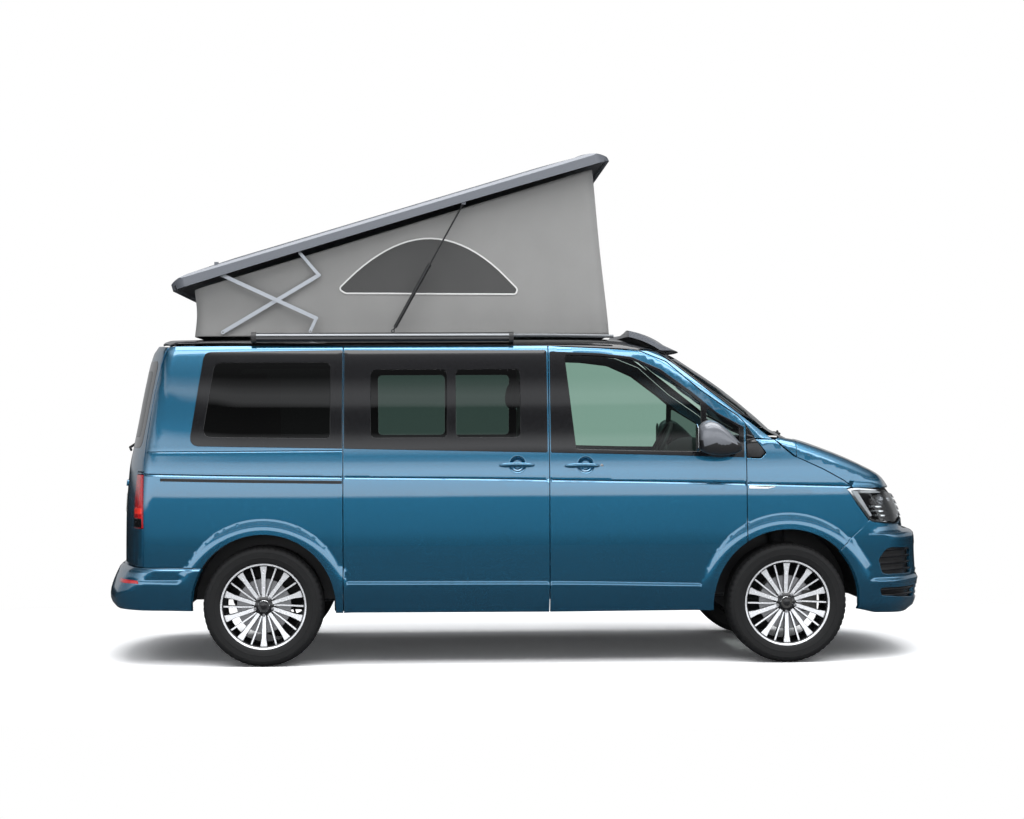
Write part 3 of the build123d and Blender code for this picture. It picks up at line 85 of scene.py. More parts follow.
def smooth_curve(rows):
    """Monotone cubic through rows (t, value), as a function of arrays."""
    t = np.array([row[0] for row in rows], float)
    v = np.array([row[1] for row in rows], float)
    step = np.diff(t)
    slope = np.diff(v) / step
    m = np.zeros(len(t))
    m[0], m[-1] = slope[0], slope[-1]
    for k in range(1, len(t) - 1):
        if slope[k - 1] * slope[k] > 0:
            w1, w2 = 2 * step[k] + step[k - 1], step[k] + 2 * step[k - 1]
            m[k] = (w1 + w2) / (w1 / slope[k - 1] + w2 / slope[k])

    def value(x):
        x = np.asarray(x, float)
        k = np.clip(np.searchsorted(t, x) - 1, 0, len(t) - 2)
        s = (x - t[k]) / step[k]
        inner = ((1 + 2 * s) * (1 - s) ** 2 * v[k] + s * (1 - s) ** 2 * step[k] * m[k]
                 + s * s * (3 - 2 * s) * v[k + 1] + s * s * (s - 1) * step[k] * m[k + 1])
        low = v[0] + (x - t[0]) * m[0]
        high = v[-1] + (x - t[-1]) * m[-1]
        return np.where(x < t[0], low, np.where(x > t[-1], high, inner))
    return value


# columns: height z, half-width y
WIDTH_AT = smooth_curve([(0.295, 0.885), (0.36, 0.909), (0.44, 0.930), (0.52, 0.938), (0.76, 0.949),
                         (0.95, 0.948), (1.08, 0.943), (1.235, 0.923), (1.38, 0.902), (1.52, 0.877),
                         (1.67, 0.847), (1.81, 0.812), (1.86, 0.797), (1.95, 0.765)])
# columns: height z, centre-line x
NOSE_AT = smooth_curve([(0.30, 2.330), (0.74, 2.359), (0.80, 2.357), (0.86, 2.343), (0.92, 2.319),
                        (0.965, 2.291), (1.02, 2.248), (1.062, 2.205), (1.125, 2.089), (1.178, 1.975),
                        (1.227, 1.852), (1.272, 1.724), (1.30, 1.610), (1.40, 1.482), (1.50, 1.364),
                        (1.60, 1.236), (1.70, 1.090), (1.80, 0.934), (1.862, 0.810), (1.95, 0.60)])
TAIL_AT = smooth_curve([(0.30, -2.325), (0.56, -2.340), (0.80, -2.338), (1.113, -2.318), (1.28, -2.285),
                        (1.40, -2.261), (1.60, -2.222), (1.80, -2.172), (1.86, -2.140), (1.95, -2.08)])
# columns: x, how far the side stands in from the widest place
BOW_AT = smooth_curve([(-2.302, 0.152), (-2.20, 0.094), (-2.14, 0.062), (-1.90, 0.020), (-1.60, 0.0),
                       (1.50, 0.0), (1.70, 0.008), (1.90, 0.028), (2.02, 0.056), (2.12, 0.092),
                       (2.24, 0.166), (2.33, 0.27)])
# columns: x, height of the shoulder crease
CREASE_AT = smooth_curve([(-2.30, 1.101), (-2.09, 1.094), (-1.243, 1.078), (-0.107, 1.061),
                          (0.179, 1.054), (1.038, 1.035), (1.383, 1.024), (1.845, 1.010), (2.30, 1.0)])
SILL_AT = smooth_curve([(-2.3, 0.520), (-0.99, 0.500), (0.176, 0.492), (1.105, 0.474), (2.3, 0.455)])
ROOF_AT = smooth_curve([(-2.30, 1.872), (-2.05, 1.884), (-1.50, 1.891), (0.30, 1.891), (0.60, 1.882),
                        (0.75, 1.866), (0.90, 1.835), (1.2, 1.77)])


def ramp(value, low, high):
    t = np.clip((value - low) / (high - low), 0, 1)
    return t * t * (3 - 2 * t)


def flare(x, z, axle_x, r_lip, r_out, proud):
    """How far a wheel-arch flare stands proud of the side."""
    r = np.hypot(x - axle_x, z - TYRE_R)
    slope = np.clip((r_out - r) / (r_out - r_lip), 0, 1)
    return proud * (1 - (1 - slope) ** 2)


def side_y(x, z):
    """Half-width of the body at x, z, with its crease, sill step and wheel-arch flares."""
    base = WIDTH_AT(z) - BOW_AT(x)
    crease = CREASE_AT(x)
    groove = -0.006 * np.exp(-((z - crease) / 0.0042) ** 2)
    lower = 0.003 * (1 - ramp(z, crease - 0.004, crease + 0.004)) + groove
    sill = SILL_AT(x)
    step = 0.012 * (1 - ramp(z, sill - 0.036, sill)) * ramp(z, 0.28, 0.33)
    arch = np.maximum(flare(x, z, FRONT_AXLE_X, 0.452, 0.520, 0.017),
                      flare(x, z, REAR_AXLE_X, 0.434, 0.502, 0.017))
    seam = -0.004 * np.exp(-((z - 1.224 - 0.0035 * (x + 1.9)) / 0.0026) ** 2) * (x < -1.003) * (x > -2.2)
    for bowl_x, bowl_z in HANDLE_BOWLS:
        r = np.hypot(x - bowl_x, z - bowl_z)
        seam = seam - 0.020 * (1 - ramp(r, 0.022, 0.052))
    return base + lower + seam + np.maximum(step - 0.006, arch)


def rounded_max(a, b, r):
    """The greater of two distances, blended over about r where they meet."""
    return np.minimum(np.maximum(a, b), -r) + np.hypot(np.maximum(a + r, 0), np.maximum(b + r, 0))


def slope_of(curve, t, h=0.004):
    return (curve(t + h) - curve(t - h)) / (2 * h)


def front_bow_x(z):
    """Centre of the front's bow seen from above; it's tighter low down."""
    return NOSE_X - 2.100 - 1.850 * ramp(z, 0.92, 1.14)


def field(x, y, z, front_r=0.055, proud=0.0):
    """About the distance outside the body; below 0 inside."""
    y = np.abs(y)
    side = (y - side_y(x, z)) / np.sqrt(1 + slope_of(WIDTH_AT, z) ** 2)
    nose_bow = np.hypot(np.maximum(x - front_bow_x(z), 0), y) + front_bow_x(z)
    nose = (nose_bow - NOSE_AT(z)) / np.sqrt(1 + slope_of(NOSE_AT, z) ** 2)
    tail_bow = REAR_BOW_X - np.hypot(np.maximum(REAR_BOW_X - x, 0), y)
    tail = (TAIL_AT(z) - tail_bow) / np.sqrt(1 + slope_of(TAIL_AT, z) ** 2)
    roof = z - (ROOF_AT(x) - 0.030 * (y / 0.745) ** 2.4)
    corner = rounded_max(side, nose, front_r)
    corner = rounded_max(corner, tail, 0.045)
    return rounded_max(corner, roof, 0.060) - proud


def cast(origin, direction, reach, shape=field):
    """Where rays from inside leave the body. Arrays of N by 3; reach is how far to look."""
    near = np.zeros(len(origin))
    far = np.full(len(origin), float(reach))
    for _ in range(34):
        mid = (near + far) / 2
        at = origin + direction * mid[:, None]
        inside = shape(at[:, 0], at[:, 1], at[:, 2]) < 0
        near = np.where(inside, mid, near)
        far = np.where(inside, far, mid)
    return origin + direction * ((near + far) / 2)[:, None]


def normals_at(points, shape=field, h=0.0006):
    grad = np.empty_like(points)
    for axis in range(3):
        step = np.zeros(3)
        step[axis] = h
        up, down = points + step, points - step
        grad[:, axis] = shape(up[:, 0], up[:, 1], up[:, 2]) - shape(down[:, 0], down[:, 1], down[:, 2])
    return grad / np.linalg.norm(grad, axis=1)[:, None]


# ------------------------------------------------------------------ projections: (u, v) to the surface
VIEW_RADIUS = 0.9
FLIP_V = (1, -1)


class SideView:
    """u = x, v = z, looked at along y."""
    def __init__(self, side, shape=field):
        self.side, self.shape = side, shape

    def rays(self, uv):
        n = len(uv)
        origin = np.column_stack([uv[:, 0], np.full(n, self.side * 0.05), uv[:, 1]])
        return origin, np.tile([0.0, float(self.side), 0.0], (n, 1)), 1.15


def right_y(x, z, shape):
    """The y of the surface point that the right side's view shows at x, z."""
    return cast(*SideView(RIGHT).rays(np.array([[x, z]])), shape)[0, 1]


class EndView:
    """u = y, v = z, looked at along x from the nose (facing 1) or the tail (facing -1)."""
    def __init__(self, facing, from_x, shape=field):
        self.facing, self.from_x, self.shape = facing, from_x, shape

    def rays(self, uv):
        n = len(uv)
        origin = np.column_stack([np.full(n, self.from_x), uv])
        return origin, np.tile([float(self.facing), 0.0, 0.0], (n, 1)), 2.6


class RoundView:
    """u = angle from the +x (facing 1) or -x direction about a vertical axis, times a radius; v = z."""
    def __init__(self, facing, centre_x, shape=field, reach=1.6):
        self.facing, self.centre_x, self.shape, self.reach = facing, centre_x, shape, reach

    def rays(self, uv):
        angle = uv[:, 0] / VIEW_RADIUS
        n = len(uv)
        origin = np.column_stack([np.full(n, self.centre_x), np.zeros(n), uv[:, 1]])
        direction = np.column_stack([self.facing * np.cos(angle), np.sin(angle), np.zeros(n)])
        return origin, direction, self.reach

    def u_of(self, x, y):
        return VIEW_RADIUS * atan2(y, self.facing * (x - self.centre_x))

    def from_side(self, x, z):
        return self.u_of(x, right_y(x, z, self.shape)), z

    def from_end(self, y, z):
        start = np.array([[self.centre_x, y, z]])
        x = cast(start, np.array([[float(self.facing), 0.0, 0.0]]), 1.6, self.shape)[0, 0]
        return self.u_of(x, y), z


class TunnelView:
    """u = x, v = angle from straight up about a line along x at height low, times a radius."""
    def __init__(self, low, shape=field):
        self.low, self.shape = low, shape

    def rays(self, uv):
        angle = uv[:, 1] / VIEW_RADIUS
        n = len(uv)
        origin = np.column_stack([uv[:, 0], np.zeros(n), np.full(n, self.low)])
        return origin, np.column_stack([np.zeros(n), np.sin(angle), np.cos(angle)]), 1.6

    def v_of(self, y, z):
        return VIEW_RADIUS * atan2(y, z - self.low)

    def from_side(self, x, z):
        return x, self.v_of(right_y(x, z, self.shape), z)

    def from_top(self, x, y):
        z = cast(np.array([[x, y, 0.75]]), np.array([[0.0, 0.0, 1.0]]), 1.4, self.shape)[0, 2]
        return x, self.v_of(y, z)


def side_rows(view, *rows, dx=0.0, dz=0.0):
    """Outline rows for a view from rows (x, z, corner radius) of the side view, moved by dx and dz."""
    return [(*view.from_side(x + dx, z + dz), r) for x, z, r in rows]


def end_rows(view, *rows):
    """Outline rows for a view from rows (y, z, corner radius) of the end view."""
    return [(*view.from_end(y, z), r) for y, z, r in rows]


def top_rows(view, *rows):
    """Outline rows for a view from rows (x, y, corner radius) of the top view."""
    return [(*view.from_top(x, y), r) for x, y, r in rows]


def as_rows(points, dx=0.0, dz=0.0, r=0):
    """Outline rows from bare points, moved by dx and dz, with one corner radius."""
    return [(p[0] + dx, p[1] + dz, r) for p in points]


def mirrored(rows, side):
    """Rows of the right side (u below 0 there), for either side."""
    return [(-side * u, v, r) for u, v, r in rows]


# ------------------------------------------------------------------ outlines
def rounded(rows, step=0.02):
    """Closed loop from rows (u, v, corner radius), with points along its sides."""
    points, corners = [], []
    n = len(rows)
    for k, (u, v, r) in enumerate(rows):
        here = np.array([u, v], float)
        before = np.array(rows[k - 1][:2], float)
        after = np.array(rows[(k + 1) % n][:2], float)
        a, b = before - here, after - here
        la, lb = np.linalg.norm(a), np.linalg.norm(b)
        a, b = a / la, b / lb
        cosine = np.clip(np.dot(a, b), -1, 1)
        half = np.arccos(cosine) / 2
        if r <= 0 or half > 1.55:
            corners.append([here])
            continue
        cut = min(r / np.tan(half), 0.45 * la, 0.45 * lb)
        count = max(3, int((pi - 2 * half) / 0.2) + 2)
        start, end = here + a * cut, here + b * cut
        arc = []
        for t in np.linspace(0, 1, count):
            arc.append((1 - t) ** 2 * start + 2 * t * (1 - t) * here + t * t * end)
        corners.append(arc)
    for k in range(n):
        points += corners[k]
        end, start = corners[(k + 1) % n][0], corners[k][-1]
        gap = np.linalg.norm(end - start)
        for t in np.linspace(0, 1, int(gap / step) + 2)[1:-1]:
            points.append(start + (end - start) * t)
    return np.array(points)


def both_halves(rows, flip=(-1, 1)):
    """Closed loop from the rows of one half, which start and end on the middle line."""
    return rounded(rows + [(flip[0] * u, flip[1] * v, r) for u, v, r in rows[-2:0:-1]], 0.03)


def box(u0, v0, u1, v1, r):
    """Rows of a rectangle with one corner radius, first along v."""
    return [(u0, v0, r), (u0, v1, r), (u1, v1, r), (u1, v0, r)]


def flat_box(u0, v0, u1, v1, r):
    """Rows of a rectangle with one corner radius, first along u."""
    return [(u0, v0, r), (u1, v0, r), (u1, v1, r), (u0, v1, r)]


def area_of(loop):
    u, v = loop[:, 0], loop[:, 1]
    return 0.5 * np.sum(u * np.roll(v, -1) - np.roll(u, -1) * v)


def inset(loop, by):
    """The loop moved inwards, point by point."""
    turn = 1 if area_of(loop) > 0 else -1
    before, after = np.roll(loop, 1, axis=0), np.roll(loop, -1, axis=0)
    e1, e2 = loop - before, after - loop
    e1 = e1 / np.maximum(np.linalg.norm(e1, axis=1), 1e-9)[:, None]
    e2 = e2 / np.maximum(np.linalg.norm(e2, axis=1), 1e-9)[:, None]
    n = np.column_stack([-(e1[:, 1] + e2[:, 1]), e1[:, 0] + e2[:, 0]]) * turn
    scale = 2 * by / np.maximum(np.sum(n * n, axis=1), 0.6)
    return loop + n * scale[:, None]


def inside(points, loop):
    """Which points lie inside a closed loop."""
    result = np.zeros(len(points), bool)
    a, b = loop, np.roll(loop, -1, axis=0)
    for (x0, y0), (x1, y1) in zip(a, b):
        if y0 == y1:
            continue
        crosses = (points[:, 1] > y0) != (points[:, 1] > y1)
        at = x0 + (points[:, 1] - y0) * (x1 - x0) / (y1 - y0)
        result ^= crosses & (points[:, 0] < at)
    return result


def near(points, loop, gap):
    """Which points lie within gap of a loop's points."""
    result = np.zeros(len(points), bool)
    for p in loop:
        result |= (np.abs(points[:, 0] - p[0]) < gap) & (np.abs(points[:, 1] - p[1]) < gap)
    return result


# ------------------------------------------------------------------ materials
def add(tree, kind, **values):
    """A new shader node; values are set by the inputs' names, with _ for a blank."""
    node = tree.nodes.new("ShaderNode" + kind)
    for key, value in values.items():
        node.inputs[key.replace("_", " ")].default_value = value
    return node


def wire(tree, *pairs):
    """Links from outputs to inputs."""
    for source, target in pairs:
        tree.links.new(source, target)


def blank_material(name):
    """A new material with nothing but its output node: the material, its tree and that node."""
    mat = bpy.data.materials.new(name)
    mat.use_nodes = True
    mat.node_tree.nodes.clear()
    return mat, mat.node_tree, add(mat.node_tree, "OutputMaterial")


def material(name, colour, rough=0.5, metallic=0.0, spread=0.08, grain=60.0, bump=0.05, bump_grain=None,
             coat=0.0, coat_rough=0.03, rough_spread=0.06, streak=(1, 1, 1), sheen=0.0):
    """Principled surface whose colour, roughness and relief vary with procedural noise."""
    mat, tree, out = blank_material(name)
    shader = add(tree, "BsdfPrincipled", Metallic=metallic, Coat_Weight=coat, Coat_Roughness=coat_rough,
                 Sheen_Weight=sheen, IOR=1.45)
    place = add(tree, "TexCoord")
    where = add(tree, "Mapping", Scale=streak)
    noise = add(tree, "TexNoise", Scale=grain, Detail=4.0)
    tone = add(tree, "ValToRGB")
    for stop, at, factor in zip(tone.color_ramp.elements, (0.3, 0.7), (1 - spread, 1 + spread)):
        stop.position = at
        stop.color = [min(1, c * factor) for c in colour] + [1]
    band = add(tree, "MapRange", To_Min=max(0.0, rough - rough_spread), To_Max=min(1.0, rough + rough_spread))
    fine = add(tree, "TexNoise", Scale=bump_grain or grain * 4, Detail=3.0)
    relief = add(tree, "Bump", Strength=bump, Distance=0.0008)
    wire(tree, (place.outputs["Object"], where.inputs["Vector"]), (where.outputs[0], noise.inputs["Vector"]),
         (noise.outputs["Fac"], tone.inputs[0]), (tone.outputs[0], shader.inputs["Base Color"]),
         (noise.outputs["Fac"], band.inputs["Value"]), (band.outputs[0], shader.inputs["Roughness"]),
         (where.outputs[0], fine.inputs["Vector"]), (fine.outputs["Fac"], relief.inputs["Height"]),
         (relief.outputs[0], shader.inputs["Normal"]), (shader.outputs[0], out.inputs[0]))
    return mat


def node_of(mat, kind):
    """The material's first node of a type."""
    return next(node for node in mat.node_tree.nodes if node.type == kind)


def woven(name, dark, light, pitch, rough=0.9, sheen=0.2, bump=0.5):
    """Plain weave: two crossed sets of fine waves over a soft mottling."""
    mat = material(name, light, rough, spread=0.06, grain=9.0, sheen=sheen)
    tree = mat.node_tree
    base = node_of(mat, "BSDF_PRINCIPLED").inputs["Base Color"]
    both = add(tree, "Math")
    both.operation = "MULTIPLY"
    for k, direction in enumerate("XZ"):
        wave = add(tree, "TexWave", Scale=0.31 / pitch, Distortion=0.6, Detail_Scale=2.0)
        wave.bands_direction = direction
        wire(tree, (node_of(mat, "MAPPING").outputs[0], wave.inputs["Vector"]), (wave.outputs["Fac"], both.inputs[k]))
    tint = add(tree, "MixRGB", Color1=(*dark, 1))
    relief = node_of(mat, "BUMP")
    relief.inputs["Strength"].default_value = bump
    relief.inputs["Distance"].default_value = 0.0006
    wire(tree, (both.outputs[0], tint.inputs[0]), (base.links[0].from_socket, tint.inputs[2]),
         (tint.outputs[0], base), (both.outputs[0], relief.inputs["Height"]))
    return mat


def tinted_glass(name, tint, ior=1.5):
    """A pane: tinted see-through, with a clear gloss that grows at shallow angles."""
    mat, tree, out = blank_material(name)
    mix = add(tree, "MixShader")
    clear = add(tree, "BsdfTransparent")
    gloss = add(tree, "BsdfPrincipled", Metallic=1.0, Base_Color=(1, 1, 1, 1), Roughness=0.0)
    fresnel = add(tree, "Fresnel", IOR=ior)
    place = add(tree, "TexCoord")
    noise = add(tree, "TexNoise", Scale=3.0)
    tone = add(tree, "ValToRGB")
    for stop, factor in zip(tone.color_ramp.elements, (0.98, 1.0)):
        stop.color = [c * factor for c in tint] + [1]
    wire(tree, (place.outputs["Object"], noise.inputs["Vector"]), (noise.outputs["Fac"], tone.inputs[0]),
         (tone.outputs[0], clear.inputs[0]), (fresnel.outputs[0], mix.inputs[0]), (clear.outputs[0], mix.inputs[1]),
         (gloss.outputs[0], mix.inputs[2]), (mix.outputs[0], out.inputs[0]))
    return mat


PAINT = material("paint_blue", (0.018, 0.165, 0.300), 0.26, metallic=0.86, spread=0.05, grain=420.0, bump=0.03,
                 bump_grain=1600.0, coat=1.0, coat_rough=0.02, rough_spread=0.05)
node_of(PAINT, "BSDF_PRINCIPLED").inputs["Coat IOR"].default_value = 1.95
GLASS_FRONT = tinted_glass("glass_front", (0.46, 0.60, 0.54))
GLASS_SCREEN = tinted_glass("glass_screen", (0.78, 0.86, 0.82), ior=1.12)
GLASS_SLIDE = tinted_glass("glass_slide", (0.17, 0.23, 0.21))
GLASS_DARK = tinted_glass("glass_dark", (0.035, 0.040, 0.038))
GLASS_LAMP = tinted_glass("glass_lamp", (0.90, 0.92, 0.93), ior=1.35)
GLOSS_BLACK = material("gloss_black", (0.006, 0.006, 0.007), 0.10, spread=0.2, grain=90.0, bump=0.02, coat=0.6)
TRIM_BLACK = material("trim_black", (0.018, 0.018, 0.019), 0.42, spread=0.15, grain=160.0, bump=0.12,
                      bump_grain=900.0)
ROOF_BLACK = material("roof_black", (0.010, 0.011, 0.013), 0.20, spread=0.15, grain=120.0, bump=0.03, coat=0.7)
SHELL_GREY = material("shell_grey", (0.130, 0.140, 0.160), 0.30, metallic=0.35, spread=0.05, grain=260.0,
                      bump=0.04, bump_grain=1200.0, coat=0.5)
CASE_SILVER = material("case_silver", (0.20, 0.21, 0.22), 0.32, metallic=0.8, spread=0.05, grain=30.0, bump=0.05,
                       streak=(1, 30, 30))
BAR_METAL = material("bar_metal", (0.50, 0.53, 0.57), 0.34, metallic=0.75, spread=0.06, grain=40.0, bump=0.06,
                     streak=(1, 8, 8))
CHROME = material("chrome", (0.80, 0.81, 0.82), 0.08, metallic=1.0, spread=0.03, grain=60.0, bump=0.01,
                  rough_spread=0.03)
STEEL = material("steel", (0.36, 0.36, 0.37), 0.38, metallic=0.9, spread=0.10, grain=70.0, bump=0.1)
STRUT_BLACK = material("strut_black", (0.014, 0.014, 0.015), 0.30, spread=0.2, grain=100.0, bump=0.05, coat=0.3)
LAMP_RED = material("lamp_red", (0.42, 0.008, 0.012), 0.12, spread=0.2, grain=50.0, bump=0.15, bump_grain=340.0,
                    coat=1.0)
LAMP_PALE = material("lamp_pale", (0.80, 0.82, 0.84), 0.18, spread=0.05, grain=50.0, bump=0.1, coat=0.8)
REFLECTOR = material("reflector", (0.45, 0.46, 0.48), 0.22, metallic=0.9, spread=0.12, grain=25.0, bump=0.1)
TYRE_RUBBER = material("tyre_rubber", (0.0065, 0.0065, 0.007), 0.70, spread=0.18, grain=70.0, bump=0.14,
                       bump_grain=520.0)
RIM_FACE = material("rim_face", (0.80, 0.81, 0.83), 0.26, metallic=0.35, spread=0.04, grain=90.0, bump=0.02)
TAPE_WHITE = woven("tape_white", (0.60, 0.60, 0.59), (0.80, 0.80, 0.79), 0.003, rough=0.9, sheen=0.1, bump=0.2)
LAMP_BRIGHT = material("lamp_bright_red", (0.80, 0.035, 0.020), 0.15, spread=0.1, grain=50.0, bump=0.15,
                       bump_grain=340.0, coat=0.8)
RIM_BLACK = material("rim_black", (0.010, 0.010, 0.011), 0.28, spread=0.2, grain=90.0, bump=0.05, coat=0.6)
UNDERBODY = material("underbody", (0.030, 0.031, 0.033), 0.72, spread=0.25, grain=24.0, bump=0.25, bump_grain=300.0)
CABIN_DARK = material("cabin_dark", (0.022, 0.022, 0.024), 0.60, spread=0.12, grain=90.0, bump=0.25,
                      bump_grain=700.0)
CABIN_LIGHT = material("cabin_light", (0.42, 0.41, 0.39), 0.80, spread=0.06, grain=60.0, bump=0.15)
CABINET = material("cabinet", (0.33, 0.31, 0.28), 0.40, spread=0.10, grain=14.0, bump=0.08, streak=(1, 1, 14))
SEAT_CLOTH = woven("seat_cloth", (0.010, 0.010, 0.011), (0.045, 0.046, 0.050), 0.004)
CANVAS = woven("canvas", (0.215, 0.215, 0.21), (0.375, 0.37, 0.365), 0.0035, rough=0.92, sheen=0.1, bump=0.25)
MESH_NET = woven("mesh_net", (0.045, 0.045, 0.045), (0.150, 0.150, 0.148), 0.005, rough=0.95, sheen=0.05, bump=0.6)
IRON = material("iron", (0.06, 0.058, 0.056), 0.60, metallic=0.6, spread=0.25, grain=40.0, bump=0.25)

# material, body and slot of the commonest pieces
BODY_PAINT = (PAINT, "van_body", "paint_blue")
BODY_TRIM = (TRIM_BLACK, "van_body", "black_trim")
BODY_GLOSS = (GLOSS_BLACK, "van_body", "black_gloss")
BODY_SILVER = (CASE_SILVER, "van_body", "case_silver")
BODY_METAL = (STEEL, "van_body", "bar_metal")


# ------------------------------------------------------------------ meshes and panels
SLIVER = 5e-4      # least area over the longest side squared


def in_scene(mesh, mat, body):
    """The object of a mesh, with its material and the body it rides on."""
    obj = bpy.data.objects.new(mesh.name, mesh)
    scene.collection.objects.link(obj)
    mesh.materials.append(mat)
    if body:
        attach(obj, body)
    return obj


def new_piece(name, verts, faces, mat, body, smooth=True):
    mesh = bpy.data.meshes.new(name)
    mesh.from_pydata([tuple(map(float, v)) for v in verts], [], [tuple(map(int, f)) for f in faces])
    mesh.update()
    mesh.polygons.foreach_set("use_smooth", [smooth] * len(mesh.polygons))
    return in_scene(mesh, mat, body)


def grid_points(loop, holes, pitch):
    """Points inside a loop and outside its holes, in staggered rows, clear of the loops themselves."""
    low, high = loop.min(0), loop.max(0)
    us = np.arange(low[0] + pitch * 0.5, high[0], pitch)
    rows = []
    for k, v in enumerate(np.arange(low[1] + pitch * 0.43, high[1], pitch * 0.866)):
        rows.append(np.column_stack([us + (pitch / 2 if k % 2 else 0), np.full(len(us), v)]))
    if not rows:
        return np.zeros((0, 2))
    points = np.concatenate(rows)
    keep = inside(points, loop) & ~near(points, loop, pitch * 0.42)
    for hole in holes:
        keep &= ~inside(points, hole) & ~near(points, hole, pitch * 0.42)
    return points[keep]


def triangles(corners, faces):
    """The faces of a Delaunay mesh as triangles, also where it leaves a face with more corners."""
    done = [tuple(f) for f in faces if len(f) == 3]
    for f in faces:
        if len(f) > 3:
            done += [tuple(f[k] for k in t) for t in tessellate_polygon([[corners[i].to_3d() for i in f]])]
    return done


def as_ready(outline):
    """A loop, or the loop that the rows of one stand for."""
    return rounded(outline) if isinstance(outline, list) else outline


def as_loop(outline):
    """The same, running anticlockwise."""
    loop = as_ready(outline)
    return loop if area_of(loop) > 0 else loop[::-1]


def line_points(line, loops, gap=0.003):
    """Which points of a line lie inside the first loop, outside the others and clear of them all."""
    ok = inside(line, loops[0]) & ~near(line, loops[0], gap)
    for hole in loops[1:]:
        ok &= ~inside(line, hole) & ~near(line, hole, gap)
    return ok


def flat_mesh(loops, lines, pitch):
    """Triangles over an outline with holes: points, corners, and where each point of the loops went."""
    points, edges = [], []
    for loop in loops:
        start = len(points)
        points += list(loop)
        edges += [(start + k, start + (k + 1) % len(loop)) for k in range(len(loop))]
    on_loops = len(points)
    spaced = grid_points(loops[0], loops[1:], pitch)
    for line in lines:
        ok = line_points(line, loops)
        run = []
        for k, good in enumerate(ok):
            if good:
                run.append(len(points))
                points.append(line[k])
            if not good or k == len(ok) - 1:
                edges += list(zip(run, run[1:]))
                run = []
        if len(spaced):
            spaced = spaced[~near(spaced, line, pitch * 0.36)]
    points += list(spaced)
    flat_points = [Vector((float(p[0]), float(p[1]))) for p in points]
    made, _, tris, source, _, _ = delaunay_2d_cdt(flat_points, edges, [], 0, 1e-6)
    uv = np.array([[p[0], p[1]] for p in made])
    tris = np.array(triangles(made, tris))
    middle = uv[tris].mean(axis=1)
    keep = inside(middle, loops[0])
    for hole in loops[1:]:
        keep &= ~inside(middle, hole)
    where = {i: k for k, ids in enumerate(source) for i in ids}
    edge_point = np.zeros(len(uv), bool)
    edge_point[[where[k] for k in range(on_loops)]] = True
    # slivers between neighbours on a loop would spoil the normals there
    a, b, c = uv[tris[:, 0]], uv[tris[:, 1]], uv[tris[:, 2]]
    longest = np.max([((b - a) ** 2).sum(axis=1), ((c - b) ** 2).sum(axis=1), ((a - c) ** 2).sum(axis=1)], axis=0)
    area = abs((b - a)[:, 0] * (c - a)[:, 1] - (b - a)[:, 1] * (c - a)[:, 0])
    keep &= ~((area < SLIVER * longest) & edge_point[tris].all(axis=1))
    return uv, tris[keep], where


def panel(name, view, outline, mat, body, slot_name, holes=(), lines=(), thick=0.014, pitch=0.030, lip=0.0016,
          back=True):
    """A sheet of the body in a projection: rounded lips, turned edges, an inner face, and true normals."""
    loops = [as_loop(loop) for loop in (outline, *holes)]
    inner = [inset(loops[0], lip)] + [inset(h, -lip) for h in loops[1:]]
    uv, tris, where = flat_mesh(inner, lines, pitch)
    origin, direction, reach = view.rays(uv)
    face = cast(origin, direction, reach, view.shape)
    normal = normals_at(face, view.shape)
    verts = [face]
    faces, smooth = [list(t) for t in tris], [True] * len(tris)
    facing = [normal[t[0]] for t in tris]
    count = len(face)
    if back:
        verts.append(face - direction * thick)
        faces += [[a + count, c + count, b + count] for a, b, c in tris]
        smooth += [False] * len(tris)
        facing += [-direction[t[0]] for t in tris]
        count *= 2
    start = 0
    for loop in loops:
        n = len(loop)
        ids = [where[start + k] for k in range(n)]
        start += n
        o, d, r = view.rays(loop)
        edge = cast(o, d, r, view.shape)
        edge_normal = normals_at(edge, view.shape)
        lip_at, foot_at = count, count + n
        verts += [edge - edge_normal * lip, edge - d * thick]
        count += 2 * n
        for k in range(n):
            j = (k + 1) % n
            # each face: its corners, whether it is smooth, the way it looks
            strips = [([ids[k], lip_at + k, lip_at + j, ids[j]], True, edge_normal[k]),
                      ([lip_at + k, foot_at + k, foot_at + j, lip_at + j], False, edge[k] - face[ids[k]])]
            if back:
                strips.append(([foot_at + k, ids[k] + len(face), ids[j] + len(face), foot_at + j], False, -d[k]))
            for corners, soft, outwards in strips:
                faces.append(corners)
                smooth.append(soft)
                facing.append(outwards)
    verts = np.concatenate(verts)
    a, b, c, d = (verts[[f[k] for f in faces]] for k in (0, 1, 2, -1))
    turned_in = (np.cross(c - a, d - b) * np.array(facing)).sum(axis=1) < 0
    faces = [[int(i) for i in (f[::-1] if flip else f)] for f, flip in zip(faces, turned_in)]
    mesh = bpy.data.meshes.new(name)
    mesh.from_pydata(verts.tolist(), [], faces)
    mesh.polygons.foreach_set("use_smooth", smooth)
    mesh.update()
    custom = np.zeros((len(mesh.loops), 3))
    for p in mesh.polygons[:len(tris)]:
        for i in p.loop_indices:
            custom[i] = normal[mesh.loops[i].vertex_index]
    mesh.normals_split_custom_set([tuple(c) for c in custom])
    return in_scene(mesh, mat, body)


def mask(name, view, outline, holes, body="van_body", slot_name="glass", thick=0.005, pitch=0.03):
    """The black frit or frame round a pane."""
    return panel(name, view, outline, GLOSS_BLACK, body, slot_name, holes=holes, thick=thick, pitch=pitch)


def pane(name, view, outline, mat, body="van_body", by=0.0005, pitch=0.06):
    """A thin pane without an inner face, its edge moved in by a little from an opening's."""
    return panel(name, view, inset(as_ready(outline), by), mat, body, "glass", thick=0.004, pitch=pitch, lip=0.0004,
                 back=False)


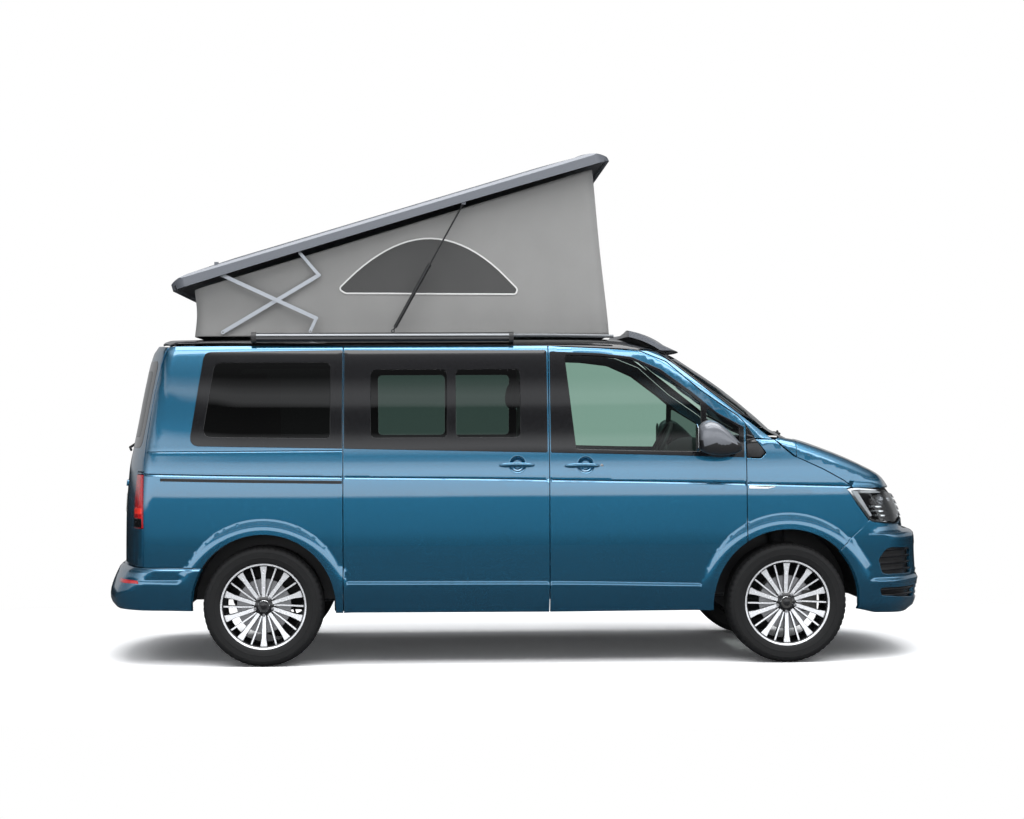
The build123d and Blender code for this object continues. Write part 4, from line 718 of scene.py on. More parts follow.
# points along which the side's mesh keeps its edges: creases, sill, arches, handle bowls, seam
LINE_X = np.linspace(-2.3, 2.3, 211)
CREASE_ROWS = [np.column_stack([LINE_X, CREASE_AT(LINE_X) + o])
               for o in (0.009, 0.004, 0.0, -0.004, -0.009, -0.105, -0.135)]
SILL_ROWS = [np.column_stack([LINE_X, SILL_AT(LINE_X) + o]) for o in (0.004, -0.010, -0.022, -0.038)]


def arc(cx, cz, r, a0, a1, step=0.02):
    """Points of an arc from angle a0 to a1."""
    n = max(2, int(abs(a1 - a0) * r / step) + 1)
    a = np.linspace(a0, a1, n)
    return np.column_stack([cx + r * np.cos(a), cz + r * np.sin(a)])


ARCH_ROWS = [arc(centre, TYRE_R, r, -0.1, pi + 0.1)
             for centre, radii in ((FRONT_AXLE_X, (0.440, 0.452, 0.470, 0.495, 0.521)),
                                   (REAR_AXLE_X, (0.425, 0.434, 0.452, 0.476, 0.503))) for r in radii]
BOWL_ROWS = [arc(cx, cz, r, 0, 2 * pi, 0.010) for cx, cz in HANDLE_BOWLS for r in (0.012, 0.022, 0.032, 0.042, 0.053)]
SEAM_X = np.linspace(-2.12, -1.006, 50)
SEAM_ROWS = [np.column_stack([SEAM_X, 1.224 + 0.0035 * (SEAM_X + 1.9) + o])
             for o in (-0.006, -0.0025, 0, 0.0025, 0.006)]
SIDE_LINES = CREASE_ROWS + SILL_ROWS + ARCH_ROWS + BOWL_ROWS + SEAM_ROWS


# ------------------------------------------------------------------ shapes that stand off the body
def near_field(proud):
    """The body's surface moved outwards by proud."""
    return lambda x, y, z: field(x, y, z, proud=proud)


BUMPER_NOSE = smooth_curve([(0.22, 2.150), (0.245, 2.330), (0.262, 2.402), (0.30, 2.432), (0.36, 2.446),
                            (0.419, 2.450), (0.50, 2.445), (0.60, 2.438), (0.700, 2.434), (0.718, 2.430),
                            (0.732, 2.412), (0.742, 2.372), (0.756, 2.362), (0.80, 2.358)])
BUMPER_TAIL = smooth_curve([(0.30, -2.345), (0.315, -2.400), (0.34, -2.423), (0.372, -2.432), (0.41, -2.428),
                            (0.455, -2.414), (0.51, -2.390), (0.545, -2.370), (0.556, -2.352), (0.57, -2.346)])


def nose_field(x, y, z):
    """The front bumper's own form, proud of the body, with a ledge along its top."""
    y = np.abs(y)
    side = y - side_y(x, z) - 0.004 * ramp(x, 2.02, 2.12) * (z < 0.735)
    lower = 0.06 * ramp(0.33 - z, 0.0, 0.10)
    nose = np.hypot(np.maximum(x - front_bow_x(z), 0), y) + front_bow_x(z) - BUMPER_NOSE(z)
    groove = -0.010 * np.exp(-((z - 0.482) / 0.010) ** 2) * ramp(x, 2.02, 2.10)
    shelf = 0.008 * np.exp(-((z - 0.452) / 0.014) ** 2) * ramp(x, 2.02, 2.10)
    return rounded_max(side + lower, nose, 0.10) - groove - shelf


def tail_field(x, y, z):
    """The rear bumper's own form."""
    y = np.abs(y)
    side = y - side_y(x, z) - 0.006 * (1 - ramp(z, 0.548, 0.556))
    tail = BUMPER_TAIL(z) - (REAR_BOW_X - np.hypot(np.maximum(REAR_BOW_X - x, 0), y))
    return rounded_max(side, tail, 0.085)


SIDE = {RIGHT: SideView(RIGHT), LEFT: SideView(LEFT)}
SIDE_OUT = {s: SideView(s, near_field(0.0025)) for s in (RIGHT, LEFT)}
GAP = 0.0022      # half of a shut line

# ------------------------------------------------------------------ side of the body
# points of the tailgate's shut line: x, z
TAIL_SHUT = [(-2.140, 1.108), (-2.126, 1.294), (-2.106, 1.437), (-2.083, 1.568), (-2.049, 1.705), (-2.009, 1.819)]
# heights of the sides' foot and top, radii of the arches, x of the doors' shut lines
SILL_Z, STRIP_Z = 0.302, 1.833
REAR_ARCH, FRONT_ARCH = 0.412, 0.425
SLIDE_X0, SLIDE_X1, DOOR_X1 = -1.001, 0.178, 1.310


def quarter_rows(x_front):
    """The rear side panel, from the shut line at x_front to the tail."""
    rows = [(x_front - GAP, SILL_Z, 0), (x_front - GAP, STRIP_Z - 0.002, 0.004), (-2.004, STRIP_Z - 0.002, 0.01)]
    rows += as_rows(TAIL_SHUT[-2:0:-1]) + [(-2.140, 1.108, 0), (-2.140, 0.567, 0)]
    a0 = pi - np.arcsin((0.567 - TYRE_R) / REAR_ARCH)
    a1 = np.arcsin((SILL_Z - TYRE_R) / REAR_ARCH)
    return rows + as_rows(arc(REAR_AXLE_X, TYRE_R, REAR_ARCH, a0, a1, 0.03))


# rows of the outlines: x, z, corner radius
QUARTER_GLASS = [(-1.878, 1.258, 0.055), (-1.797, 1.797, 0.05), (-1.005, 1.806, 0.004), (-1.005, 1.241, 0.004)]
QUARTER_HOLE = [(-1.84, 1.285, 0.05), (-1.765, 1.770, 0.05), (-1.045, 1.775, 0.02), (-1.045, 1.270, 0.02)]
QUARTER_CLEAR = [(-1.80, 1.310, 0.05), (-1.735, 1.735, 0.05), (-1.075, 1.735, 0.03), (-1.075, 1.300, 0.03)]
SLIDE_GLASS = [(-0.996, 1.240, 0.004), (-0.996, 1.806, 0.004), (0.168, 1.803, 0.012), (0.168, 1.213, 0.012)]
SLIDE_HOLE = [(-0.93, 1.270, 0.03), (-0.93, 1.770, 0.03), (0.10, 1.768, 0.03), (0.10, 1.245, 0.03)]
SLIDE_CLEAR = [box(-0.843, 1.302, -0.408, 1.692, 0.03), box(-0.355, 1.302, 0.013, 1.692, 0.03)]

for side in (RIGHT, LEFT):
    tag = WORD[side]
    front, holes = (SLIDE_X0, [QUARTER_HOLE]) if side == RIGHT else (SLIDE_X1, [QUARTER_HOLE, SLIDE_HOLE])
    quarter = panel("quarter_panel_" + tag, SIDE[side], quarter_rows(front), *BODY_PAINT, holes=holes,
                    lines=SIDE_LINES, thick=0.018)
    if side == RIGHT:
        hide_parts("body_shell")
    mask("quarter_window_mask_" + tag, SIDE_OUT[side], QUARTER_GLASS, [QUARTER_CLEAR])
    quarter_pane = pane("quarter_pane_" + tag, SIDE_OUT[side], QUARTER_CLEAR, GLASS_DARK)
    if side == RIGHT:
        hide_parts("side_glass")
    mask("slide_window_mask_" + tag, SIDE_OUT[side], SLIDE_GLASS, SLIDE_CLEAR)
    for k, rows in enumerate(SLIDE_CLEAR):
        pane("slide_pane_%d_%s" % (k, tag), SIDE_OUT[side], rows, GLASS_SLIDE)

slide_rows = [(SLIDE_X0 + GAP, SILL_Z, 0.004), (SLIDE_X0 + GAP, STRIP_Z - 0.002, 0.006),
              (SLIDE_X1 - GAP, STRIP_Z - 0.005, 0.006), (SLIDE_X1 - GAP, SILL_Z - 0.004, 0.004)]
slide = panel("sliding_door_skin", SIDE[RIGHT], slide_rows, *BODY_PAINT, holes=[SLIDE_HOLE], lines=SIDE_LINES,
              thick=0.030)
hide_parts("sliding_door")

# front doors
DOOR_GLASS_OUT = [(0.186, 1.795, 0.012), (0.479, 1.784, 0), (0.660, 1.762, 0.1), (0.826, 1.690, 0.06),
                  (0.999, 1.562, 0), (1.144, 1.440, 0.05), (1.298, 1.355, 0), (1.298, 1.180, 0.006),
                  (0.754, 1.198, 0), (0.186, 1.212, 0.012)]
DOOR_PANE = [(0.272, 1.776, 0.02), (0.479, 1.768, 0), (0.655, 1.746, 0.1), (0.812, 1.676, 0.06),
             (0.985, 1.548, 0.0), (1.052, 1.492, 0.008), (1.052, 1.216, 0.02), (0.754, 1.220, 0),
             (0.332, 1.232, 0.02)]
DOOR_QUARTER = [(1.084, 1.464, 0.01), (1.270, 1.352, 0.01), (1.270, 1.206, 0.02), (1.084, 1.212, 0.015)]
DOOR_HOLE = [(0.235, 1.782, 0.02), (0.479, 1.774, 0), (0.655, 1.752, 0.1), (0.820, 1.684, 0.06),
             (0.993, 1.556, 0), (1.144, 1.434, 0.04), (1.284, 1.352, 0.01), (1.284, 1.194, 0.01),
             (0.754, 1.208, 0), (0.235, 1.222, 0.02)]
# points along the door's upper front edge: x, z
A_LINE = [(0.714, 1.795), (0.860, 1.736), (1.063, 1.561), (1.266, 1.421), (1.307, 1.376)]


def door_rows():
    """The front door's skin."""
    rows = [(SLIDE_X1 + GAP, SILL_Z - 0.004, 0.004), (SLIDE_X1 + GAP, STRIP_Z - 0.005, 0.006),
            (0.249, 1.822, 0), (0.481, 1.812, 0), (0.620, 1.802, 0.05)]
    rows += as_rows(A_LINE[:-1], -0.002, -0.003, 0.03) + [(DOOR_X1 - GAP, 1.374, 0.02)]
    a0 = pi - np.arccos((FRONT_AXLE_X - DOOR_X1 + GAP) / FRONT_ARCH)
    a1 = pi + np.arcsin((TYRE_R - SILL_Z) / FRONT_ARCH)
    return rows + as_rows(arc(FRONT_AXLE_X, TYRE_R, FRONT_ARCH, a0, a1, 0.03))


for side in (RIGHT, LEFT):
    tag = WORD[side]
    body = "front_door_" + tag
    skin = panel("door_skin_" + tag, SIDE[side], door_rows(), PAINT, body, "paint_blue", holes=[DOOR_HOLE],
                 lines=SIDE_LINES, thick=0.030)
    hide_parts("front_door_" + tag)
    mask("door_window_frame_" + tag, SIDE_OUT[side], DOOR_GLASS_OUT, [DOOR_PANE, DOOR_QUARTER], body, "black_gloss",
         thick=0.010)
    door_pane = pane("door_pane_" + tag, SideView(side, near_field(-0.004)), DOOR_PANE, GLASS_FRONT, body, -0.002)
    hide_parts("front_door_glass_" + tag)
    pane("door_quarter_pane_" + tag, SideView(side, near_field(-0.002)), DOOR_QUARTER, GLASS_SLIDE, body, -0.002)

# ------------------------------------------------------------------ front end
BONNET_SIDE = [(1.600, 1.181), (1.641, 1.164), (1.758, 1.110), (1.875, 1.046), (1.917, 1.012)]
HOOD_LOW, NOSE_CENTRE, TAIL_CENTRE = 0.75, 1.2, -1.2
HOOD = TunnelView(HOOD_LOW)
NOSE_VIEW = RoundView(1, NOSE_CENTRE)


def hood_front(z0, z1, count=12):
    """Points along the bonnet's front edge from the lamp's corner to the middle, in HOOD's u and v."""
    us = np.linspace(NOSE_VIEW.from_side(1.925, 1.006)[0], 0.0, count)
    points = cast(*NOSE_VIEW.rays(np.column_stack([us, np.linspace(z0, z1, count)])))
    return [(x, HOOD.v_of(y, z), 0) for x, y, z in points]


hood_rows = top_rows(HOOD, (1.722, 0.0, 0), (1.690, -0.35, 0), (1.612, -0.70, 0.02))
hood_rows += side_rows(HOOD, *as_rows(BONNET_SIDE)) + hood_front(1.004, 0.985)
bonnet = panel("bonnet_skin", HOOD, both_halves(hood_rows, FLIP_V), PAINT, "bonnet", "paint_blue", thick=0.016,
               pitch=0.028)
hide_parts("bonnet")

LAMP_FOOT = [(1.894, 0.994), (1.960, 0.905), (2.028, 0.818), (2.052, 0.806), (2.130, 0.796), (2.196, 0.789)]
LAMP_ROWS = side_rows(NOSE_VIEW, *as_rows(LAMP_FOOT))
LAMP_ROWS += end_rows(NOSE_VIEW, (-0.70, 0.797, 0), (-0.545, 0.812, 0.03), (-0.56, 0.950, 0.03), (-0.72, 0.972, 0))
LAMP_ROWS += side_rows(NOSE_VIEW, (2.10, 0.988, 0), (1.960, 1.000, 0.01))
WING_FRONT = [(1.892, 0.999), (1.957, 0.905), (2.024, 0.815), (2.020, 0.800), (1.908, 0.705), (1.845, 0.643)]


def wing_rows():
    """The front wing, from the door to the lamp and the bumper."""
    rows = [(DOOR_X1 + GAP, 1.176, 0), (1.392, 1.172, 0.02), (1.428, 1.204, 0.015), (1.366, 1.283, 0),
            (1.475, 1.281, 0), (1.525, 1.232, 0), (1.583, 1.184, 0)]
    rows += as_rows(BONNET_SIDE, 0.0, -0.004) + as_rows(WING_FRONT, -0.003, -0.002)
    a0 = np.arctan2(0.643 - TYRE_R - 0.003, 1.842 - FRONT_AXLE_X)
    a1 = pi - np.arccos((FRONT_AXLE_X - DOOR_X1 - GAP) / FRONT_ARCH)
    return rows + as_rows(arc(FRONT_AXLE_X, TYRE_R, FRONT_ARCH, a0 + 0.03, a1, 0.03))


# rows of the black triangle before the door's glass, and points of the windscreen's edge along the pillar
TRIANGLE = [(1.314, 1.352, 0), (1.421, 1.206, 0.02), (1.390, 1.180, 0.02), (1.314, 1.182, 0)]
PILLAR_SCREEN = [(0.806, 1.797), (0.925, 1.713), (1.062, 1.603), (1.283, 1.430), (1.480, 1.279)]
pillar_rows = [(0.640, 1.803, 0)] + as_rows(A_LINE, 0.001, 0.001) + [(1.362, 1.290, 0), (1.462, 1.286, 0)]
pillar_rows += as_rows(PILLAR_SCREEN[-2::-1], -0.004, -0.003)
corner_rows = side_rows(HOOD, (1.482, 1.281, 0), (1.529, 1.238, 0), (1.587, 1.191, 0), (1.597, 1.184, 0))
corner_rows += top_rows(HOOD, (1.608, -0.70, 0), (1.614, -0.66, 0), (1.575, -0.72, 0))

for side in (RIGHT, LEFT):
    tag = WORD[side]
    wing = panel("wing_" + tag, SIDE[side], wing_rows(), *BODY_PAINT, lines=SIDE_LINES, thick=0.007)
    if side == RIGHT:
        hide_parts("front_wings")
    panel("wing_corner_" + tag, HOOD, [(u, -side * v, r) for u, v, r in corner_rows], *BODY_PAINT, thick=0.014)
    panel("window_triangle_" + tag, SIDE[side], TRIANGLE, *BODY_GLOSS, thick=0.012, pitch=0.05)
    panel("a_pillar_" + tag, SIDE[side], pillar_rows, *BODY_PAINT, thick=0.05)


def level_lines(*heights):
    """Lines across a bumper, which keep its ledges sharp."""
    return [np.column_stack([np.linspace(-1.25, 1.25, 100), np.full(100, z)]) for z in heights]


def bumper_view(depth=0.0):
    """The front bumper's surface, moved inwards by depth."""
    return RoundView(1, NOSE_CENTRE, lambda x, y, z: nose_field(x, y, z) + depth)


NOSE_OUT, NOSE_BACK, NOSE_MID = bumper_view(), bumper_view(0.045), bumper_view(0.004)
bumper_half = [(0.0, 0.802, 0)] + end_rows(NOSE_OUT, (-0.545, 0.802, 0), (-0.70, 0.788, 0))
bumper_half += side_rows(NOSE_OUT, *as_rows(LAMP_FOOT[:1:-1]), dz=-0.004)
bumper_half += side_rows(NOSE_OUT, (1.970, 0.757, 0), (1.909, 0.703, 0), (1.848, 0.643, 0))
arch_start = np.arctan2(0.643 - TYRE_R, 1.848 - FRONT_AXLE_X) - 0.05
bumper_half += side_rows(NOSE_OUT, *as_rows(arc(FRONT_AXLE_X, TYRE_R, FRONT_ARCH, arch_start, -0.10, 0.04)))
bumper_half += side_rows(NOSE_OUT, (2.10, 0.268, 0)) + end_rows(NOSE_OUT, (-0.60, 0.256, 0)) + [(0.0, 0.252, 0)]
SLAT_U = (0.470, 0.700)
# openings of the bumper's right half, in its view's u and v
slat_hole = [(-SLAT_U[0], 0.492, 0.02), (-SLAT_U[0] - 0.01, 0.640, 0.03), (-SLAT_U[1] + 0.035, 0.655, 0.05),
             (-SLAT_U[1], 0.585, 0.03), (-SLAT_U[1] + 0.02, 0.498, 0.03)]
low_hole = [(0.40, 0.338, 0.015), (0.40, 0.415, 0.02), (-0.40, 0.415, 0.02), (-0.40, 0.338, 0.015)]
low_side_hole = [(-0.43, 0.345, 0.015), (-0.43, 0.415, 0.015), (-0.690, 0.420, 0.02), (-0.670, 0.372, 0.02)]
bumper_holes = [rounded(low_hole), rounded(box(0.40, 0.505, -0.40, 0.655, 0.02))]
bumper_holes += [rounded(mirrored(rows, side)) for side in (RIGHT, LEFT) for rows in (slat_hole, low_side_hole)]
bumper = panel("front_bumper_skin", NOSE_OUT, both_halves(bumper_half), *BODY_PAINT, holes=bumper_holes,
               lines=level_lines(0.440, 0.452, 0.466, 0.482, 0.700, 0.718, 0.727, 0.735, 0.742, 0.750),
               thick=0.020, pitch=0.028)
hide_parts("front_bumper")
for k, loop in enumerate(bumper_holes):
    panel("bumper_grille_back_%d" % k, NOSE_BACK, inset(loop, -0.020), *BODY_TRIM, thick=0.004, pitch=0.05)
    low, high = loop.min(0), loop.max(0)
    count = max(2, int((high[1] - low[1]) / 0.033))
    for n in range(count):
        z = low[1] + (n + 0.6) * (high[1] - low[1]) / (count + 0.2)
        run = loop[np.abs(loop[:, 1] - z) < 0.028]
        u0, u1 = run[:, 0].min() + 0.002, run[:, 0].max() - 0.002
        if u1 - u0 > 0.04:
            slat = rounded([(u0, z, 0), (u1, z, 0), (u1, z + 0.011, 0.004), (u0, z + 0.011, 0.004)], 0.03)
            panel("bumper_slat_%d_%d" % (k, n), NOSE_MID, slat, *BODY_GLOSS, thick=0.022, pitch=0.04)
grille_rows = [(0.53, 0.806, 0.02), (0.53, 0.958, 0.02), (0.0, 0.972, 0), (-0.53, 0.958, 0.02), (-0.53, 0.806, 0.02),
               (0.0, 0.806, 0)]
grille = panel("grille_back", EndView(1, NOSE_CENTRE, near_field(-0.020)), grille_rows, TRIM_BLACK, "van_body",
               "black_gloss", thick=0.01, pitch=0.06)
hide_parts("front_grille")
for n in range(4):
    z = 0.822 + n * 0.036
    panel("grille_bar_%d" % n, EndView(1, NOSE_CENTRE), rounded(flat_box(-0.52, z, 0.52, z + 0.016, 0.004), 0.04),
          *BODY_GLOSS, thick=0.020, pitch=0.05)
    panel("grille_chrome_%d" % n, EndView(1, NOSE_CENTRE, near_field(0.002)),
          rounded(flat_box(-0.52, z - 0.005, 0.52, z, 0.002), 0.04), CHROME, "van_body", "black_gloss",
          thick=0.006, pitch=0.05)

SCREEN_VIEW = RoundView(1, -0.4, reach=2.6)


def screen_loop(shrink=0.0, side_shrink=0.0):
    """The windscreen's outline, moved in by shrink at the top and foot and by side_shrink at the sides."""
    rows = [(0.0, 1.296 + shrink, 0)]
    rows += [(u + side_shrink, v + shrink, r) for u, v, r in side_rows(SCREEN_VIEW, (1.560, 1.287, 0.02))]
    for x, z in PILLAR_SCREEN[-2::-1]:
        u, v = SCREEN_VIEW.from_side(x, z)
        rows.append((u + side_shrink, v - (shrink if x < 0.85 else 0), 0))
    return both_halves(rows + [(0.0, 1.815 - shrink, 0)])


screen_clear = screen_loop(0.050, 0.012)
screen_mask = mask("windscreen_mask", SCREEN_VIEW, screen_loop(), [screen_clear])
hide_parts("windscreen")
pane("windscreen_pane", SCREEN_VIEW, screen_clear, GLASS_SCREEN, pitch=0.05)

cowl_half = top_rows(HOOD, (1.716, 0.0, 0), (1.684, -0.35, 0), (1.606, -0.70, 0), (1.560, -0.745, 0),
                     (1.585, -0.60, 0), (1.622, -0.35, 0), (1.640, 0.0, 0))
cowl = panel("cowl_skin", TunnelView(HOOD_LOW, near_field(-0.006)), both_halves(cowl_half, FLIP_V), *BODY_TRIM,
             thick=0.012)
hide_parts("cowl_panel")

# ------------------------------------------------------------------ roof, tail
ROOF_LOW = 1.20
ROOF_VIEW = TunnelView(ROOF_LOW)
STRIP_LINE = [(0.815, 1.797), (0.700, 1.801), (0.481, 1.815), (0.249, 1.824), (-0.10, 1.831), (-1.0, STRIP_Z),
              (-2.004, STRIP_Z), (-2.010, 1.842)]
roof_rows = top_rows(ROOF_VIEW, (0.868, 0.0, 0), (0.850, -0.50, 0), (0.822, -0.68, 0))
roof_rows += side_rows(ROOF_VIEW, *as_rows(STRIP_LINE), dz=0.002)
roof_rows += top_rows(ROOF_VIEW, (-2.075, -0.45, 0), (-2.090, 0.0, 0))
hatch = rounded(top_rows(ROOF_VIEW, *box(0.38, 0.48, -1.40, -0.48, 0.03)))
panel("roof_skin", ROOF_VIEW, both_halves(roof_rows, FLIP_V), ROOF_BLACK, "van_body", "black_trim", holes=[hatch],
      thick=0.014, pitch=0.04)

TAIL_VIEW = RoundView(-1, TAIL_CENTRE)


def whole(rows):
    """Closed loop from the rows of the right half, none of them on the middle line."""
    return rounded(mirrored(rows[::-1], LEFT) + rows, 0.03)


def gate_window(y, low, high, r):
    """Outline of the rear window: half-width at the top, lower and upper heights, corner radius."""
    return rounded(end_rows(TAIL_VIEW, (-y, high, r), (-y - 0.02, low, r), (y + 0.02, low, r), (y, high, r)), 0.03)


gate_half = end_rows(TAIL_VIEW, (-0.3, 1.846, 0)) + side_rows(TAIL_VIEW, (-2.008, 1.828, 0.01))
gate_half += side_rows(TAIL_VIEW, *as_rows(TAIL_SHUT[-2:0:-1]), dx=-0.004)
gate_half += side_rows(TAIL_VIEW, (-2.136, 1.112, 0.01))
gate_half += end_rows(TAIL_VIEW, (-0.740, 1.112, 0.01), (-0.738, 0.572, 0.02))
gate = panel("tailgate_skin", TAIL_VIEW, whole(gate_half), PAINT, "tailgate", "paint_blue",
             holes=[gate_window(0.64, 1.28, 1.72, 0.05)], thick=0.030, pitch=0.035)
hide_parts("tailgate")
TAIL_OUT = RoundView(-1, TAIL_CENTRE, near_field(0.0012))
gate_clear = gate_window(0.60, 1.31, 1.69, 0.04)
mask("tailgate_window_mask", TAIL_OUT, gate_window(0.69, 1.245, 1.752, 0.06), [gate_clear], "tailgate", pitch=0.05)
gate_pane = pane("tailgate_pane", TAIL_OUT, gate_clear, GLASS_DARK, "tailgate", pitch=0.05)
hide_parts("tailgate_glass")

LAMP_LOW, LAMP_HIGH = 0.790, 1.094


def corner_panel(side, z0, z1, name, mat, slot_name, proud=0.0, pull=0.0):
    """A piece of the tail's corner between two heights, its upright edges moved in by pull."""
    middle = (z0 + z1) / 2
    low, half, high = (TAIL_VIEW.from_side(-2.144, z)[0] + pull for z in (z0, middle, z1))
    far_low, far_high = (TAIL_VIEW.from_end(-0.745, z)[0] - pull for z in (z0, z1))
    rows = [(low, z0, 0.004), (half, middle, 0), (high, z1, 0.004), (far_high, z1, 0.004), (far_low, z0, 0.004)]
    return panel(name, RoundView(-1, TAIL_CENTRE, near_field(proud)), mirrored(rows, side), mat, "van_body",
                 slot_name, thick=0.02, pitch=0.03)


for side in (RIGHT, LEFT):
    tag = WORD[side]
    corner_panel(side, 0.570, LAMP_LOW - 0.003, "tail_corner_" + tag, PAINT, "paint_blue")
    corner_panel(side, LAMP_HIGH + 0.003, 1.107, "tail_corner_top_" + tag, PAINT, "paint_blue")
    lamp = corner_panel(side, LAMP_LOW, LAMP_HIGH, "tail_lamp_" + tag, LAMP_RED, "lamp_red", proud=0.004)
    corner_panel(side, 0.870, 0.905, "tail_lamp_bar_" + tag, LAMP_BRIGHT, "lamp_red", proud=0.006, pull=0.006)
    if side == RIGHT:
        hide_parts("tail_lamps")

TAIL_BUMPER_VIEW = RoundView(-1, TAIL_CENTRE, tail_field)
tail_half = end_rows(TAIL_BUMPER_VIEW, (-0.4, 0.563, 0)) + side_rows(TAIL_BUMPER_VIEW, (-2.10, 0.563, 0))
arch_start = pi - np.arcsin((0.563 - TYRE_R) / REAR_ARCH)
arch_end = pi + np.arcsin((TYRE_R - 0.318) / REAR_ARCH)
tail_half += side_rows(TAIL_BUMPER_VIEW, *as_rows(arc(REAR_AXLE_X, TYRE_R, REAR_ARCH, arch_start, arch_end, 0.04)))
tail_half += side_rows(TAIL_BUMPER_VIEW, (-2.10, 0.318, 0)) + end_rows(TAIL_BUMPER_VIEW, (-0.4, 0.318, 0))
tail_bumper = panel("rear_bumper_skin", TAIL_BUMPER_VIEW, whole(tail_half), *BODY_PAINT,
                    lines=level_lines(0.34, 0.36, 0.50, 0.535, 0.548, 0.553), thick=0.02, pitch=0.03)
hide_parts("rear_bumper")


# ------------------------------------------------------------------ shapes made by turning and lofting
def turned(name, profile, centre, mat, body, segments=144, dips=None):
    """Closed profile turned about a line along y; its rows are radius and distance outwards from the centre."""
    cx, cy, cz, side = centre
    n = len(profile)
    verts, faces = [], []
    for s in range(segments):
        a = 2 * pi * s / segments
        for k, (r, y) in enumerate(profile):
            r -= dips(s, k) if dips else 0.0
            verts.append((cx + r * cos(a), cy + side * y, cz + r * sin(a)))
    for s in range(segments):
        t = (s + 1) % segments
        for k in range(n):
            j = (k + 1) % n
            faces.append((s * n + k, s * n + j, t * n + j, t * n + k))
    obj = new_piece(name, verts, faces, mat, body)
    fix_normals(obj)
    return obj


def fix_normals(obj, angle=35):
    """Merged doubles, outward faces, and sharp edges where faces meet at more than the angle."""
    shell = bmesh.new()
    shell.from_mesh(obj.data)
    bmesh.ops.remove_doubles(shell, verts=shell.verts, dist=1e-6)
    bmesh.ops.recalc_face_normals(shell, faces=shell.faces)
    for edge in shell.edges:
        if len(edge.link_faces) == 2 and edge.calc_face_angle(0) > radians(angle):
            edge.smooth = False
    shell.to_mesh(obj.data)
    shell.free()


def loft(name, rings, mat, body, slot_name, smooth=True, levels=0):
    """Skin over rings of equal point count."""
    n = len(rings[0])
    verts = [tuple(p) for ring in rings for p in ring]
    faces = []
    for i in range(len(rings) - 1):
        for k in range(n):
            j = (k + 1) % n
            faces.append((i * n + k, i * n + j, (i + 1) * n + j, (i + 1) * n + k))
    faces.append(tuple(range(n))[::-1])
    faces.append(tuple((len(rings) - 1) * n + k for k in range(n)))
    obj = new_piece(name, verts, faces, mat, body, smooth)
    fix_normals(obj, 40)
    if levels:
        sub = obj.modifiers.new("round", "SUBSURF")
        sub.levels = sub.render_levels = levels
    return obj


def super_ring(centre, axis_u, axis_v, a, b, power=2.6, count=24):
    """Rounded rectangle-like ring."""
    c, u, v = np.array(centre, float), np.array(axis_u, float), np.array(axis_v, float)
    ring = []
    for k in range(count):
        t = 2 * pi * k / count
        x = np.sign(cos(t)) * abs(cos(t)) ** (2 / power)
        y = np.sign(sin(t)) * abs(sin(t)) ** (2 / power)
        ring.append(c + u * a * x + v * b * y)
    return ring


def tube(name, path, radius, mat, body, slot_name, count=12):
    path = [np.array(p, float) for p in path]
    rings = []
    for k, p in enumerate(path):
        ahead = path[min(k + 1, len(path) - 1)] - path[max(k - 1, 0)]
        ahead = ahead / np.linalg.norm(ahead)
        side = np.cross(ahead, (0, 0, 1) if abs(ahead[2]) < 0.9 else (1, 0, 0))
        side /= np.linalg.norm(side)
        rings.append(super_ring(p, side, np.cross(side, ahead), radius, radius, 2.0, count))
    return loft(name, rings, mat, body, slot_name)


# ------------------------------------------------------------------ wheels
HUB_R, SPOKE_R = 0.052, 0.2275
SPOKE_SECTION = ((-1.25, -0.034), (-1.0, -0.0022), (-0.86, 0.0), (0.86, 0.0), (1.0, -0.0022), (1.25, -0.034))


def spoke_mesh(name, centre, mats, body):
    """Ten wide and ten thin spokes, paired, with bright faces and black flanks."""
    base, side = np.array(centre[:3]), centre[3]
    verts, faces, kinds = [], [], []
    for k in range(10):
        for wide in (True, False):
            turn = radians(90 + 36 * k)
            rim_turn = turn if wide else turn - radians(18)
            hub_turn = turn + (radians(2) if wide else -radians(13))
            w_hub, w_rim = (0.0095, 0.0140) if wide else (0.0042, 0.0052)
            start = len(verts)
            for t in (0.0, 0.25, 0.5, 0.75, 1.0):
                r = HUB_R + (SPOKE_R - HUB_R) * t
                a = hub_turn + (rim_turn - hub_turn) * (1 - (1 - t) ** 1.7)
                w = w_hub + (w_rim - w_hub) * t + (0.006 if t == 1.0 and wide else 0)
                y = 0.066 + 0.022 * t ** 1.5 if wide else 0.060 + 0.024 * t ** 1.4
                out = np.array([cos(a), 0, sin(a)])
                across = np.array([-sin(a), 0, cos(a)])
                for s, dy in SPOKE_SECTION:
                    verts.append(base + out * r + across * s * w + np.array([0, side * (y + dy), 0]))
            for i in range(4):
                near_row, far_row = start + i * 6, start + (i + 1) * 6
                for j in range(6):
                    m = (j + 1) % 6
                    faces.append((near_row + j, near_row + m, far_row + m, far_row + j))
                    kinds.append(0 if j in (1, 2, 3) else 1)
    obj = new_piece(name, verts, faces, mats[0], body)
    obj.data.materials.append(mats[1])
    obj.data.polygons.foreach_set("material_index", kinds)
    fix_normals(obj, 25)


